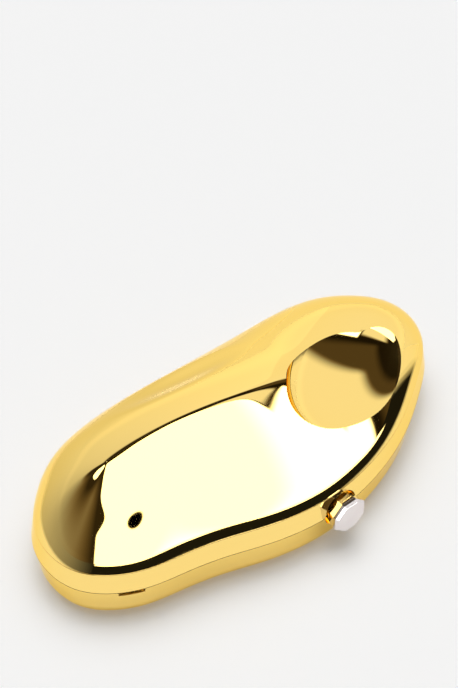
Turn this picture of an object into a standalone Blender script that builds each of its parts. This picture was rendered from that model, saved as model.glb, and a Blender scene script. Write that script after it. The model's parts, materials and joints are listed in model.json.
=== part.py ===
# Hard evening clutch: a two-part metal shell case with a back hinge, a push button clasp and a lining.
# Metres, +Z up. X runs along the case, -Y is the front with the button, the hinge is at +Y.
# Heights in the functions are from the seam between the two shells.

import math

import bmesh
import bpy
import numpy as np
from mathutils import Vector

for old in list(bpy.data.objects):
    bpy.data.objects.remove(old)

# Case outline, measured on the crease line of the lid
HALF_LENGTH = 0.100
HALF_DEPTH = 0.0465
OUTLINE_SHARES = (
    (-0.988, 0.054), (-0.958, -0.247), (-0.865, -0.469), (-0.730, -0.615), (-0.575, -0.688), (-0.410, -0.778),
    (-0.245, -0.899), (-0.080, -0.981), (0.095, -1.002), (0.270, -0.951), (0.450, -0.837), (0.625, -0.656),
    (0.785, -0.430), (0.922, -0.181), (0.993, 0.135), (0.970, 0.447), (0.880, 0.688), (0.750, 0.875),
    (0.575, 0.972), (0.350, 0.989), (0.0, 0.989), (-0.350, 0.987), (-0.552, 0.949), (-0.726, 0.834),
    (-0.864, 0.606), (-0.956, 0.344))
CURVE_SAMPLES = 4000

# Shell walls
WALL = 0.0012
SEAM_GAP = 0.0003
CREASE_HEIGHT = 0.00975
RIM_FLARE = 0.0015
LOWER_DEPTH = 0.019
LOWER_CORNER = 0.0095
CORNER_STEPS = 5
GAP = 0.0003

# Crown of the lid: a pebble form with one soft ridge that swings to the front
RIDGE_LEFT_SHARES = (-0.798, 0.023)
RIDGE_RIGHT_SHARES = (0.624, 0.018)
RIDGE_BEND_SHARES = (0.058, -0.598)
RISE_LEFT = 0.030
RISE_MIDDLE = 0.0398
RISE_RIGHT = 0.0172
RIDGE_ROUND = 0.0012
END_EASE_SHARE = 0.19
FRONT_SLOPE_SHARE = 0.76
BACK_SLOPE_SHARE = 0.385
TIP_SLOPE_SHARE = 0.845
LEFT_FADE_SHARE = 0.276
RIGHT_FADE_SHARE = 0.30
EDGE_SHARE = 0.076
BELLY_POWER = 2.7
EDGE_POWER = 21
FRONT_TURN = 0.020
DIMPLE_CENTRE_SHARES = (-0.17, 0.516)
DIMPLE_REACH = (0.038, 0.014)
DIMPLE_TURN = math.radians(-3)
DIMPLE_DEPTH = 0.003

# Bowl pressed into the lid, the lower end of a tilted egg
BOWL_CENTRE_SHARES = (0.389, -0.336)
BOWL_HEIGHT = 0.0208
BOWL_LEAN = (0.251, -0.406, 0.883)
BOWL_REACH = (0.0317, 0.0201)
BOWL_TURN = math.radians(14.7)
BOWL_DEPTH = 0.0045
BOWL_LIFT = 0.006

# Frames inside the rims
FRAME_THICKNESS = 0.001
BASE_FRAME_LOW = 0.006
LIP_HEIGHT = 0.0015
LIP_INSET = 0.0003
LID_FRAME_LOW = 0.002
LID_FRAME_HIGH = 0.008

# Hinge
HINGE_HALF = 0.032
KNUCKLE_COUNT = 5
KNUCKLE_RADIUS = 0.0019
HINGE_BORE = 0.00105
PIN_RADIUS = 0.00075
PIN_HEAD = 0.0015
PIN_HEAD_LENGTH = 0.0007
HINGE_NOTCH = 0.0024
LEAF_THICKNESS = 0.001
LEAF_REACH = 0.0065
LEAF_START = 0.001
WEB_THICKNESS = 0.0011
WEB_RISE = 0.0004
RIVET_RADIUS = 0.0009
RIVET_HOLE = 0.0012
RIVET_HEAD = 0.0016
RIVET_HEAD_HEIGHT = 0.0005
HINGE_RIVET_SHARES = (-0.8, 0.0, 0.8)

# Push button and the scoop around it
BUTTON_X = 0.0095
SCOOP_MOUTH = 0.0086
SCOOP_FLOOR = 0.0070
SCOOP_DEPTH = 0.0045
SCOOP_WALL = 0.0016
SCOOP_FLOOR_WALL = 0.0020
BUTTON_GIRDLE = 0.0078
BUTTON_FACE = 0.0069
BUTTON_BACK = 0.0063
BUTTON_PROUD = 0.0059
BUTTON_LENGTH = 0.0080
BUTTON_BEVEL = 0.0012
BUTTON_SIDES = 8
STEM_RADIUS = 0.0016
STEM_BORE = 0.0019

# Clasp works behind the scoop
PLATE_THICKNESS = 0.001
HOUSING_HALF = 0.0065
HOUSING_LOW = 0.0065
HOUSING_HIGH = 0.0032
HOUSING_DEEP = 0.0086
BUSH_RADIUS = 0.0028
BUSH_FLANGE = 0.0034
BUSH_FLANGE_THICKNESS = 0.0008
CLIP_RADIUS = 0.0028
CLIP_THICKNESS = 0.0008
SPRING_RADIUS = 0.0023
SPRING_WIRE = 0.00025
SPRING_TURNS = 4
SPRING_POINTS = 12
LATCH_HALF = 0.0035
LATCH_THICKNESS = 0.0004
LATCH_LOW = 0.0060
LATCH_HIGH = 0.0063
LATCH_LIP = 0.0016
LATCH_RIVET_HEIGHT = -0.0046
LATCH_RIVET_SPREAD = 0.0018
CATCH_HALF = 0.0055
CATCH_LOW = 0.0040
CATCH_HIGH = 0.0090
CATCH_THICKNESS = 0.0008
LEDGE_OVERLAP = 0.0008
HOUSING_SCREW_HEIGHT = -0.0036
CATCH_SCREW_HEIGHT = 0.0062
SCREW_RADIUS = 0.0007
SCREW_HOLE = 0.0010
SCREW_HEAD = 0.0013
SCREW_HEAD_HEIGHT = 0.0006
SCREW_DEEP = 0.0012
SCREW_SPREAD = 0.0048
HEAD_EASE_SHARE = 0.7

# Lining
BASE_LINING_INSET = 0.0042
BASE_LINING = 0.0010
BASE_LINING_LOW = 0.0010
BASE_LINING_CORNER = 0.0070
LID_LINING = 0.0008
CREASE_DROP_SHARE = 0.3
LID_LINING_LOW = 0.0083
LID_LINING_CLEAR = 0.0120
BOARD_THICKNESS = 0.0010
BOARD_INSET = 0.0120
COVER_HALF = 0.0102
COVER_BACK = 0.0218
COVER_FRONT = 0.0080
COVER_THICKNESS = 0.0012
COVER_HIGH = 0.0030
FRAME_CLEAR = 0.0012

# Strap slot in the lower rim and the lug behind it
SLOT_SHARES = (-0.80, -0.55)
SLOT_LENGTH = 0.0105
SLOT_HEIGHT = 0.0023
LUG_RADIUS = 0.0006
LUG_SPREAD = 0.0125
LUG_LEG = 0.0018
LUG_BEND = 0.0010
LUG_SETBACK = 0.0008
LUG_BEND_POINTS = 3

# Level of detail
FINE_LOOP_STEPS = 48
PLAIN_LOOP_STEPS = 24
FINE_RISE_STEPS = 9
PLAIN_RISE_STEPS = 6
RING_POWER = 1.5
INNER_STEPS = 2
EGG_SIDES = 32
EGG_RISE_STEPS = 20
SCOOP_SIDES = 40
ROUND_SIDES = 20
SMALL_SIDES = 12
SHARP_ANGLE = math.radians(28)
OVERRUN = 0.0015

# Finishes: colour, roughness, metallic
POLISHED_GOLD = ((0.98, 0.72, 0.28, 1.0), 0.06, 1.0)
SATIN_GOLD = ((0.95, 0.72, 0.33, 1.0), 0.20, 1.0)
ROSE_CHROME = ((0.93, 0.84, 0.80, 1.0), 0.12, 1.0)
SPRING_STEEL = ((0.66, 0.66, 0.67, 1.0), 0.30, 1.0)
TURNED_BRASS = ((0.80, 0.62, 0.30, 1.0), 0.25, 1.0)
LINING_SATIN = ((0.80, 0.72, 0.60, 1.0), 0.80, 0.0)
GREY_BOARD = ((0.74, 0.66, 0.54, 1.0), 0.90, 0.0)

HALVES = np.array((HALF_LENGTH, HALF_DEPTH))
OUTLINE = np.array(OUTLINE_SHARES) * HALVES
RIDGE_LEFT = np.array(RIDGE_LEFT_SHARES) * HALVES
RIDGE_RIGHT = np.array(RIDGE_RIGHT_SHARES) * HALVES
RIDGE_BENDS = np.array(RIDGE_BEND_SHARES) * HALF_DEPTH
DIMPLE_CENTRE = np.array(DIMPLE_CENTRE_SHARES) * HALVES
BOWL_CENTRE = np.append(np.array(BOWL_CENTRE_SHARES) * HALVES, CREASE_HEIGHT + BOWL_HEIGHT)
RIM = SEAM_GAP / 2
FLOOR_TOP = -(LOWER_DEPTH - WALL - GAP - BOARD_THICKNESS - GAP - BASE_LINING)

# Places along +Y, counted from the front wall at the button
STEM_START = BUTTON_LENGTH - BUTTON_PROUD + GAP
HOUSING_FRONT = SCOOP_DEPTH + SCOOP_FLOOR_WALL + GAP
CLIP_START = HOUSING_FRONT + PLATE_THICKNESS + GAP
HOUSING_BACK = HOUSING_FRONT + HOUSING_DEEP
FLANGE_START = HOUSING_BACK - GAP - BUSH_FLANGE_THICKNESS
LATCH_FRONT = HOUSING_BACK + PLATE_THICKNESS + GAP


# Outline and crown formulas

def closed_curve(points, samples):
    # a smooth closed curve through the points, a cubic between each two of them
    after = np.linalg.norm(np.roll(points, -1, 0) - points, axis=1)
    before = np.roll(after, 1)
    count = len(points)
    system = np.zeros((count, count))
    for i in range(count):
        system[i, i - 1] += before[i]
        system[i, i] += 2 * (before[i] + after[i])
        system[i, (i + 1) % count] += after[i]
    slope = (np.roll(points, -1, 0) - points) / after[:, None]
    bend = np.linalg.solve(system, 6 * (slope - np.roll(slope, 1, 0)))
    knots = np.concatenate(([0], np.cumsum(after)))
    t = np.linspace(0, knots[-1], samples, endpoint=False)
    i = np.clip(np.searchsorted(knots, t, side="right") - 1, 0, count - 1)
    j = (i + 1) % count
    done = (t - knots[i])[:, None]
    left = (knots[i + 1] - t)[:, None]
    span = after[i][:, None]
    curve = (bend[i] * left ** 3 + bend[j] * done ** 3) / (6 * span)
    curve += (points[i] / span - bend[i] * span / 6) * left
    return curve + (points[j] / span - bend[j] * span / 6) * done


def along_ridge(points):
    # place along the ridge, 0 at its left end and 1 at its right end, eased where it runs out
    t = (points[:, 0] - RIDGE_LEFT[0]) / (RIDGE_RIGHT[0] - RIDGE_LEFT[0])
    t = END_EASE_SHARE * np.log1p(np.exp(t / END_EASE_SHARE))
    return 1 - END_EASE_SHARE * np.log1p(np.exp((1 - t) / END_EASE_SHARE))


def crease_loop(half_count):
    # x, y, outward x, outward y of points on the crease, counted from the left tip along the front;
    # a point of the front and its mate at the back share their place along the ridge
    fine = closed_curve(OUTLINE, CURVE_SAMPLES)
    tangent = np.roll(fine, -1, 0) - np.roll(fine, 1, 0)
    tangent /= np.linalg.norm(tangent, axis=1)[:, None]
    rows = np.column_stack((fine, tangent[:, 1], -tangent[:, 0]))
    t = along_ridge(fine)
    left, right = t.argmin(), t.argmax()
    front = [(left + k) % len(rows) for k in range((right - left) % len(rows) + 1)]
    back = [(left - k) % len(rows) for k in range((left - right) % len(rows) + 1)]
    sides = []
    for way in (front, back):
        step = np.linalg.norm(np.diff(fine[way], axis=0), axis=1)
        run = np.concatenate(([0], np.cumsum(step)))
        sides.append((np.maximum.accumulate(t[way]), rows[way], run / run[-1]))
    grid = np.linspace(t[left], t[right], CURVE_SAMPLES)
    mean = sum(np.interp(grid, side[0], side[2]) for side in sides) / 2
    places = np.interp(np.linspace(0, 1, half_count + 1), mean, grid)
    front_rows, back_rows = [
        np.column_stack([np.interp(places, side[0], side[1][:, c]) for c in range(4)]) for side in sides]
    return np.concatenate((front_rows, back_rows[-2:0:-1]))


def smooth_step(value):
    value = np.clip(value, 0, 1)
    return value * value * (3 - 2 * value)


def ridge_line(place):
    # the ridge in plan: it runs evenly along X and swings across Y, pulled by its two bends
    rest = 1 - place
    ends = rest ** 3 * RIDGE_LEFT[1] + place ** 3 * RIDGE_RIGHT[1]
    swing = 3 * rest * place * (rest * RIDGE_BENDS[0] + place * RIDGE_BENDS[1])
    return np.column_stack((RIDGE_LEFT[0] + place * (RIDGE_RIGHT[0] - RIDGE_LEFT[0]), ends + swing))


def crown_rise(x, y, share, place, front, run):
    # height above the crease, where share is 1 at the crease and 0 on the ridge
    left_fade = TIP_SLOPE_SHARE + (1 - TIP_SLOPE_SHARE) * smooth_step(place / LEFT_FADE_SHARE)
    fade = left_fade * smooth_step((1 - place) / RIGHT_FADE_SHARE)
    slope = (BACK_SLOPE_SHARE + (FRONT_SLOPE_SHARE - BACK_SLOPE_SHARE) * front) * fade
    ease = RIDGE_ROUND / run
    eased = (np.sqrt(share ** 2 + ease ** 2) - ease) / (np.sqrt(1 + ease ** 2) - ease)
    fall = slope * eased + (1 - slope - EDGE_SHARE) * eased ** BELLY_POWER + EDGE_SHARE * eased ** EDGE_POWER
    first = 4 * RISE_MIDDLE - 3 * RISE_LEFT - RISE_RIGHT
    second = 2 * RISE_LEFT + 2 * RISE_RIGHT - 4 * RISE_MIDDLE
    rise = RISE_LEFT + first * place + second * place ** 2
    across = x - DIMPLE_CENTRE[0]
    along = y - DIMPLE_CENTRE[1]
    cos, sin = math.cos(DIMPLE_TURN), math.sin(DIMPLE_TURN)
    long_share = (cos * across + sin * along) / DIMPLE_REACH[0]
    short_share = (cos * along - sin * across) / DIMPLE_REACH[1]
    reach = np.hypot(long_share, short_share)
    dimple = DIMPLE_DEPTH * np.where(reach < 1, (1 - reach ** 2) ** 2, 0)
    return rise * (1 - fall) - dimple


def crown_grid(half_count, rings):
    # rings of points from the crease up to the ridge, closer together near the crease
    loop = crease_loop(half_count)[:, :2]
    place = along_ridge(loop)
    foot = ridge_line(place)
    run = np.linalg.norm(loop - foot, axis=1)
    front = smooth_step((foot[:, 1] - loop[:, 1]) / FRONT_TURN + 1 / 2)
    grid = []
    for k in range(rings + 1):
        share = 1 - (k / rings) ** RING_POWER
        flat = foot + share * (loop - foot)
        height = CREASE_HEIGHT + crown_rise(flat[:, 0], flat[:, 1], share, place, front, run)
        grid.append(np.column_stack((flat, height)))
    return np.array(grid)


def mate(index, count):
    return index if index <= count // 2 else count - index


def inner_crown_grid(half_count, rings, inset):
    # the crown surface moved inwards, square to itself, and straight down under the ridge
    step = INNER_STEPS
    grid = crown_grid(half_count * step, rings * step)
    around = np.roll(grid, -1, 1) - np.roll(grid, 1, 1)
    up = np.gradient(grid, axis=0)
    square = np.cross(around, up)
    square[:-1] /= np.linalg.norm(square[:-1], axis=2)[:, :, None]
    square[-1] = (0, 0, 1)
    return (grid - inset * square)[::step, ::step]


def ring(loop, offset, height):
    flat = loop[:, :2] + offset * loop[:, 2:]
    return np.column_stack((flat, np.full(len(loop), height)))


def rim_flare(height):
    # how far the wall stands outside the crease line; it is widest at the seam
    return RIM_FLARE * (1 - abs(height) / CREASE_HEIGHT)


# Mesh and object helpers

def new_material(name, colour, roughness, metallic):
    material = bpy.data.materials.new(name)
    material.use_nodes = True
    shader = material.node_tree.nodes["Principled BSDF"]
    shader.inputs["Base Color"].default_value = colour
    shader.inputs["Roughness"].default_value = roughness
    shader.inputs["Metallic"].default_value = metallic
    return material


def new_object(name, mesh, parent, finish=None, smooth=True):
    thing = bpy.data.objects.new(name, mesh)
    bpy.context.scene.collection.objects.link(thing)
    thing.parent = parent
    if parent is not DATUM:
        thing.location = -parent.location
    if finish:
        mesh.materials.append(new_material(name, *finish))
    if smooth:
        mesh.shade_smooth()
        mesh.set_sharp_from_angle(angle=SHARP_ANGLE)
    return thing


def new_empty(name, location, parent=None):
    empty = bpy.data.objects.new(name, None)
    bpy.context.scene.collection.objects.link(empty)
    empty.location = location
    empty.parent = parent
    return empty


def guide(name, mesh):
    # a shape that only cuts another one
    thing = new_object(name, mesh, DATUM, smooth=False)
    thing.hide_render = True
    thing.display_type = "WIRE"
    return thing


def boolean(target, tool, operation="DIFFERENCE"):
    cut = target.modifiers.new(tool.name, "BOOLEAN")
    cut.operation = operation
    cut.solver = "EXACT"
    cut.object = tool


def mesh_from(name, verts, faces):
    mesh = bpy.data.meshes.new(name)
    mesh.from_pydata([tuple(map(float, v)) for v in verts], [], faces)
    mesh.update()
    return mesh


def bmesh_mesh(name, shape):
    mesh = bpy.data.meshes.new(name)
    shape.normal_update()
    bmesh.ops.recalc_face_normals(shape, faces=shape.faces)
    shape.to_mesh(mesh)
    shape.free()
    return mesh


def halves(a, b, c, d):
    # a four-sided face cut the same way everywhere, so that nested shells keep their gap
    return (a, b, c), (a, c, d)


def loft(name, rings, ridge=None):
    # a closed body from rings of equal count, flat at the bottom, and flat or closed on a ridge at the top
    count = len(rings[0])
    verts = [p for r in rings for p in r]
    faces = [tuple(reversed(range(count)))]
    for k in range(len(rings) - 1):
        for i in range(count):
            j = (i + 1) % count
            faces.extend(halves(k * count + i, k * count + j, (k + 1) * count + j, (k + 1) * count + i))
    base = (len(rings) - 1) * count
    if ridge is None:
        faces.append(tuple(range(base, base + count)))
    else:
        start = len(verts)
        verts.extend(ridge[:count // 2 + 1])
        for i in range(count):
            j = (i + 1) % count
            faces.extend(halves(base + i, base + j, start + mate(j, count), start + mate(i, count)))
    return mesh_from(name, verts, faces)


def strip(name, outer, inner):
    # a closed band between two stacks of rings, each stack from low to high
    count = len(outer[0])
    stack = list(outer) + list(reversed(inner))
    verts = [p for r in stack for p in r]
    faces = []
    for k in range(len(stack)):
        low, high = k * count, (k + 1) % len(stack) * count
        for i in range(count):
            j = (i + 1) % count
            faces.append((low + i, low + j, high + j, high + i))
    return mesh_from(name, verts, faces)


def box_mesh(name, low, high):
    shape = bmesh.new()
    low, high = Vector(low), Vector(high)
    bmesh.ops.create_cube(shape, size=1)
    for vert in shape.verts:
        vert.co = [(low[a] + high[a]) / 2 + vert.co[a] * (high[a] - low[a]) for a in range(3)]
    return bmesh_mesh(name, shape)


def prism_mesh(name, profile, left, right):
    # a y, z outline drawn out along X
    shape = bmesh.new()
    face = shape.faces.new([shape.verts.new((left, y, z)) for y, z in profile])
    drawn = bmesh.ops.extrude_face_region(shape, geom=[face])
    for item in drawn["geom"]:
        if isinstance(item, bmesh.types.BMVert):
            item.co.x = right
    return bmesh_mesh(name, shape)


def add_turned(shape, profile, centre, axis, sides, twist=0.0):
    # a closed turned body: the profile is (distance along the axis, radius) from one end to the other
    axis = Vector(axis)
    across = axis.orthogonal().normalized()
    if abs(axis.y) == 1:
        across = Vector((1, 0, 0))
    other = axis.cross(across)
    rings = []
    for along, radius in profile:
        middle = Vector(centre) + axis * along
        if radius == 0:
            rings.append([shape.verts.new(middle)])
            continue
        rings.append([])
        for i in range(sides):
            turn = math.tau * i / sides + twist
            outward = across * math.cos(turn) + other * math.sin(turn)
            rings[-1].append(shape.verts.new(middle + radius * outward))
    for ring_a, ring_b in zip(rings, rings[1:]):
        for i in range(sides):
            j = (i + 1) % sides
            if len(ring_a) == 1:
                shape.faces.new((ring_a[0], ring_b[i], ring_b[j]))
            elif len(ring_b) == 1:
                shape.faces.new((ring_a[i], ring_b[0], ring_a[j]))
            else:
                shape.faces.new((ring_a[i], ring_b[i], ring_b[j], ring_a[j]))
    for end in (rings[0], rings[-1]):
        if len(end) > 1:
            shape.faces.new(end)


def turned_mesh(name, profile, centre, axis, sides=ROUND_SIDES, twist=0.0):
    shape = bmesh.new()
    add_turned(shape, profile, centre, axis, sides, twist)
    return bmesh_mesh(name, shape)


def turned_group(name, profile, centres, axis, sides=SMALL_SIDES):
    shape = bmesh.new()
    for centre in centres:
        add_turned(shape, profile, centre, axis, sides)
    return bmesh_mesh(name, shape)


def egg_mesh(name, grow):
    # the bowl's egg, grown by a wall, with its upper half drawn straight up so that it opens to the air
    lean = Vector(BOWL_LEAN).normalized()
    long_way = Vector((math.cos(BOWL_TURN), math.sin(BOWL_TURN), 0))
    long_way = (long_way - lean * long_way.dot(lean)).normalized()
    short_way = lean.cross(long_way)
    height = BOWL_LIFT + BOWL_DEPTH
    widen = 1 / math.sqrt(1 - (BOWL_LIFT / height) ** 2)
    radii = (BOWL_REACH[0] * widen + grow, BOWL_REACH[1] * widen + grow, height + grow)
    centre = Vector(BOWL_CENTRE) + lean * BOWL_LIFT
    shape = bmesh.new()
    bmesh.ops.create_uvsphere(shape, u_segments=EGG_SIDES, v_segments=EGG_RISE_STEPS, radius=1)
    rise = RISE_MIDDLE + CREASE_HEIGHT + OVERRUN
    for vert in shape.verts:
        unit = vert.co.copy()
        up = unit.x * long_way.z / radii[0] + unit.y * short_way.z / radii[1] + unit.z * lean.z / radii[2]
        vert.co = centre + long_way * unit.x * radii[0] + short_way * unit.y * radii[1]
        vert.co += lean * unit.z * radii[2]
        if up > 0:
            vert.co.z += rise
    return bmesh_mesh(name, shape)


FINE = crease_loop(FINE_LOOP_STEPS)
PLAIN = crease_loop(PLAIN_LOOP_STEPS)

# Where the front wall, the back wall and the works lie
FRONT_Y = float(np.interp(BUTTON_X, FINE[:FINE_LOOP_STEPS + 1, 0], FINE[:FINE_LOOP_STEPS + 1, 1])) - RIM_FLARE
SCOOP_FLOOR_Y = FRONT_Y + SCOOP_DEPTH
WORKS_Y = SCOOP_FLOOR_Y + SCOOP_FLOOR_WALL
BACK_Y = max(y for x, y in FINE[:, :2] if abs(x) < HINGE_HALF)
AXIS_Y = BACK_Y + RIM_FLARE + GAP
BUTTON_FRONT_Y = FRONT_Y - BUTTON_PROUD

FAR_Y = AXIS_Y + KNUCKLE_RADIUS
RIM_X = FINE[:, 0] + RIM_FLARE * FINE[:, 2]
MIDDLE = Vector(((RIM_X.min() + RIM_X.max()) / 2, (BUTTON_FRONT_Y + FAR_Y) / 2, -LOWER_DEPTH))
DATUM = new_empty("case_datum", -MIDDLE)
LID = new_empty("lid_axis", (0, AXIS_Y, 0), DATUM)
BUTTON = new_empty("button_axis", (BUTTON_X, FRONT_Y, 0), DATUM)


# Shells

def corner_rings(loop, start, depth, corner, inset, low_first=True):
    # the drafted wall from the start height down, then a round corner into the flat floor
    rings = [ring(loop, rim_flare(start) - inset, start)]
    foot = -(depth - corner)
    for k in range(CORNER_STEPS + 1):
        turn = math.pi / 2 * k / CORNER_STEPS
        rings.append(ring(loop, rim_flare(foot) - inset - corner * (1 - math.cos(turn)),
                          foot - corner * math.sin(turn)))
    return rings[::-1] if low_first else rings


def scoop_profile(grow, floor_grow):
    # along +Y from in front of the mouth to the floor
    slope = (SCOOP_MOUTH - SCOOP_FLOOR) / SCOOP_DEPTH
    ahead = BUTTON_PROUD
    return [(-ahead, SCOOP_MOUTH + grow + slope * ahead), (SCOOP_DEPTH + floor_grow, SCOOP_FLOOR + grow)]


def hinge_notch(name):
    # room in both rims for the knuckles and the pin's two heads
    half = HINGE_HALF + GAP + PIN_HEAD_LENGTH + GAP
    return guide(name, box_mesh(name, (-half, BACK_Y - FRAME_THICKNESS - RIM_FLARE, -HINGE_NOTCH),
                                (half, FAR_Y + OVERRUN, HINGE_NOTCH)))


def slot_frame():
    # place and directions of the strap slot on the lower rim
    target = np.array(SLOT_SHARES) * HALVES
    row = FINE[np.argmin(np.linalg.norm(FINE[:, :2] - target, axis=1))]
    out = Vector((row[2], row[3], 0))
    return Vector((row[0], row[1], 0)) + out * RIM_FLARE, out, Vector((-out.y, out.x, 0))


def slot_box(name, length, drop, inward):
    # a box in the slot's own directions, open at the rim
    place, out, along = slot_frame()
    shape = bmesh.new()
    bmesh.ops.create_cube(shape, size=1)
    for vert in shape.verts:
        depth = OVERRUN if vert.co.y > 0 else -inward
        rise = RIM if vert.co.z > 0 else -drop
        vert.co = place + along * vert.co.x * length + out * depth + Vector((0, 0, rise))
    return bmesh_mesh(name, shape)


SCOOP_CENTRE = (BUTTON_X, FRONT_Y, 0)
SCOOP = guide("scoop_cutter", turned_mesh(
    "scoop_cutter", scoop_profile(0, 0), SCOOP_CENTRE, (0, 1, 0), SCOOP_SIDES))
BACKING = guide("scoop_backing", turned_mesh(
    "scoop_backing", scoop_profile(SCOOP_WALL, SCOOP_FLOOR_WALL), SCOOP_CENTRE, (0, 1, 0), SCOOP_SIDES))
STEM_HOLE = guide("stem_hole", turned_mesh(
    "stem_hole", [(0, STEM_BORE), (HOUSING_BACK + PLATE_THICKNESS + OVERRUN, STEM_BORE)],
    SCOOP_CENTRE, (0, 1, 0)))
NOTCH = hinge_notch("hinge_notch")


def lower_shell():
    rings = corner_rings(FINE, -RIM, LOWER_DEPTH, LOWER_CORNER, 0)
    body = new_object("lower_shell", loft("lower_shell", rings), DATUM, POLISHED_GOLD)
    rings = corner_rings(PLAIN, -RIM, LOWER_DEPTH - WALL, LOWER_CORNER - WALL, WALL)
    rings.append(ring(PLAIN, rim_flare(0) - WALL, OVERRUN))
    cavity = guide("lower_cavity", loft("lower_cavity", rings))
    boolean(cavity, BACKING)
    slot = guide("slot_cutter", slot_box("slot_cutter", SLOT_LENGTH, SLOT_HEIGHT, WALL + OVERRUN))
    for tool in (cavity, SCOOP, STEM_HOLE, NOTCH, slot, HOUSING_HOLES):
        boolean(body, tool)
    return body


def upper_body(name, loop_half, rings, inset, start):
    # the lid's form, shrunk by an inset, from a start height to the ridge
    loop = crease_loop(loop_half)
    grid = inner_crown_grid(loop_half, rings, inset) if inset else crown_grid(loop_half, rings)
    if inset:
        grid[0] = ring(loop, -inset, CREASE_HEIGHT - CREASE_DROP_SHARE * inset)
    skirt = ring(loop, rim_flare(max(start, 0)) - inset, start)
    return loft(name, [skirt] + list(grid[:-1]), grid[-1])


def upper_shell():
    body = new_object("upper_shell", upper_body("upper_shell", FINE_LOOP_STEPS, FINE_RISE_STEPS, 0, RIM),
                      LID, POLISHED_GOLD)
    inside = upper_body("upper_cavity", PLAIN_LOOP_STEPS, PLAIN_RISE_STEPS, WALL, -OVERRUN)
    cavity = guide("upper_cavity", inside)
    boolean(cavity, guide("bowl_backing", egg_mesh("bowl_backing", WALL)))
    boolean(cavity, BACKING)
    bowl = guide("bowl_cutter", egg_mesh("bowl_cutter", 0))
    for tool in (bowl, cavity, SCOOP, STEM_HOLE, NOTCH, CATCH_HOLES):
        boolean(body, tool)
    return body


# Frames

def frame_rings(low, high, inset):
    # the lower and upper ring of a band inside the rim, an inset in from the band's outer face
    return [ring(PLAIN, rim_flare(height) - WALL - GAP - inset, height) for height in (low, high)]


def clasp_gap(name):
    # the frames stop on each side of the scoop
    half = SCOOP_MOUTH + SCOOP_WALL + FRAME_CLEAR
    return guide(name, box_mesh(name, (BUTTON_X - half, FRONT_Y - OVERRUN, -LOWER_DEPTH),
                                (BUTTON_X + half, WORKS_Y, LOWER_DEPTH)))


CLASP_GAP = clasp_gap("clasp_gap")


def base_frame():
    # a band in the lower rim whose lip stands up into the lid
    outer = frame_rings(-BASE_FRAME_LOW, -RIM, 0) + [ring(PLAIN, -LIP_INSET, LIP_HEIGHT)]
    inner = frame_rings(-BASE_FRAME_LOW, -RIM, FRAME_THICKNESS)
    inner.append(ring(PLAIN, -LIP_INSET - FRAME_THICKNESS, LIP_HEIGHT))
    frame = new_object("base_frame", strip("base_frame", outer, inner), DATUM, SATIN_GOLD)
    length = LUG_SPREAD + 2 * LUG_BEND + 2 * LUG_RADIUS
    inward = WALL + RIM_FLARE + FRAME_THICKNESS + OVERRUN
    slot = guide("slot_clear", slot_box("slot_clear", length, SLOT_HEIGHT + LUG_RADIUS, inward))
    for tool in (CLASP_GAP, NOTCH, slot, rivet_holes("base_rivet_holes", -1)):
        boolean(frame, tool)
    return frame


def lid_frame():
    outer = frame_rings(LID_FRAME_LOW, LID_FRAME_HIGH, 0)
    inner = frame_rings(LID_FRAME_LOW, LID_FRAME_HIGH, FRAME_THICKNESS)
    frame = new_object("lid_frame", strip("lid_frame", outer, inner), LID, SATIN_GOLD)
    for tool in (CLASP_GAP, NOTCH, rivet_holes("lid_rivet_holes", 1)):
        boolean(frame, tool)
    return frame


# Hinge

def leaf_face(height, depth):
    # y of a plane inside the back frame, depth in from the frame's inner face
    return BACK_Y + rim_flare(height) - WALL - GAP - FRAME_THICKNESS - GAP - depth


def leaf_profile(side):
    # the leaf plate and, above it, the part that turns out towards the knuckles
    near, far = side * LEAF_START, side * LEAF_REACH
    return [(leaf_face(near, LEAF_THICKNESS), near), (leaf_face(near, 0), near),
            (leaf_face(far, 0), far), (leaf_face(far, LEAF_THICKNESS), far)]


def knuckle_spans(side):
    # lower knuckles at both ends and in the middle, upper knuckles between them
    pitch = 2 * HINGE_HALF / KNUCKLE_COUNT
    first = 0 if side < 0 else 1
    return [(-HINGE_HALF + k * pitch + GAP / 2, -HINGE_HALF + (k + 1) * pitch - GAP / 2)
            for k in range(first, KNUCKLE_COUNT, 2)]


def rivet_centres(side):
    height = side * (LEAF_START + LEAF_REACH) / 2
    return [(share * HINGE_HALF, leaf_face(height, LEAF_THICKNESS), height) for share in HINGE_RIVET_SHARES]


def rivet_holes(name, side):
    reach = LEAF_THICKNESS + GAP + FRAME_THICKNESS + OVERRUN
    profile = [(-OVERRUN, RIVET_HOLE), (reach, RIVET_HOLE)]
    return guide(name, turned_group(name, profile, rivet_centres(side), (0, 1, 0)))


def hinge_leaf(name, side, parent):
    leaf = new_object(name, prism_mesh(name, leaf_profile(side), -HINGE_HALF, HINGE_HALF), parent, SATIN_GOLD)
    web_low, web_high = side * WEB_RISE, side * (WEB_RISE + WEB_THICKNESS)
    for k, (left, right) in enumerate(knuckle_spans(side)):
        part = "%s_web_%d" % (name, k)
        start = leaf_face(side * LEAF_START, LEAF_THICKNESS / 2)
        boolean(leaf, guide(part, box_mesh(part, (left, start, min(web_low, web_high)),
                                           (right, AXIS_Y, max(web_low, web_high)))), "UNION")
        part = "%s_knuckle_%d" % (name, k)
        boolean(leaf, guide(part, turned_mesh(part, [(0, KNUCKLE_RADIUS), (right - left, KNUCKLE_RADIUS)],
                                              (left, AXIS_Y, 0), (1, 0, 0))), "UNION")
    bore = guide(name + "_bore", turned_mesh(name + "_bore", [
        (-OVERRUN, HINGE_BORE), (2 * HINGE_HALF + OVERRUN, HINGE_BORE)], (-HINGE_HALF, AXIS_Y, 0), (1, 0, 0)))
    boolean(leaf, bore)
    boolean(leaf, rivet_holes(name + "_holes", side))
    return leaf


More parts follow.
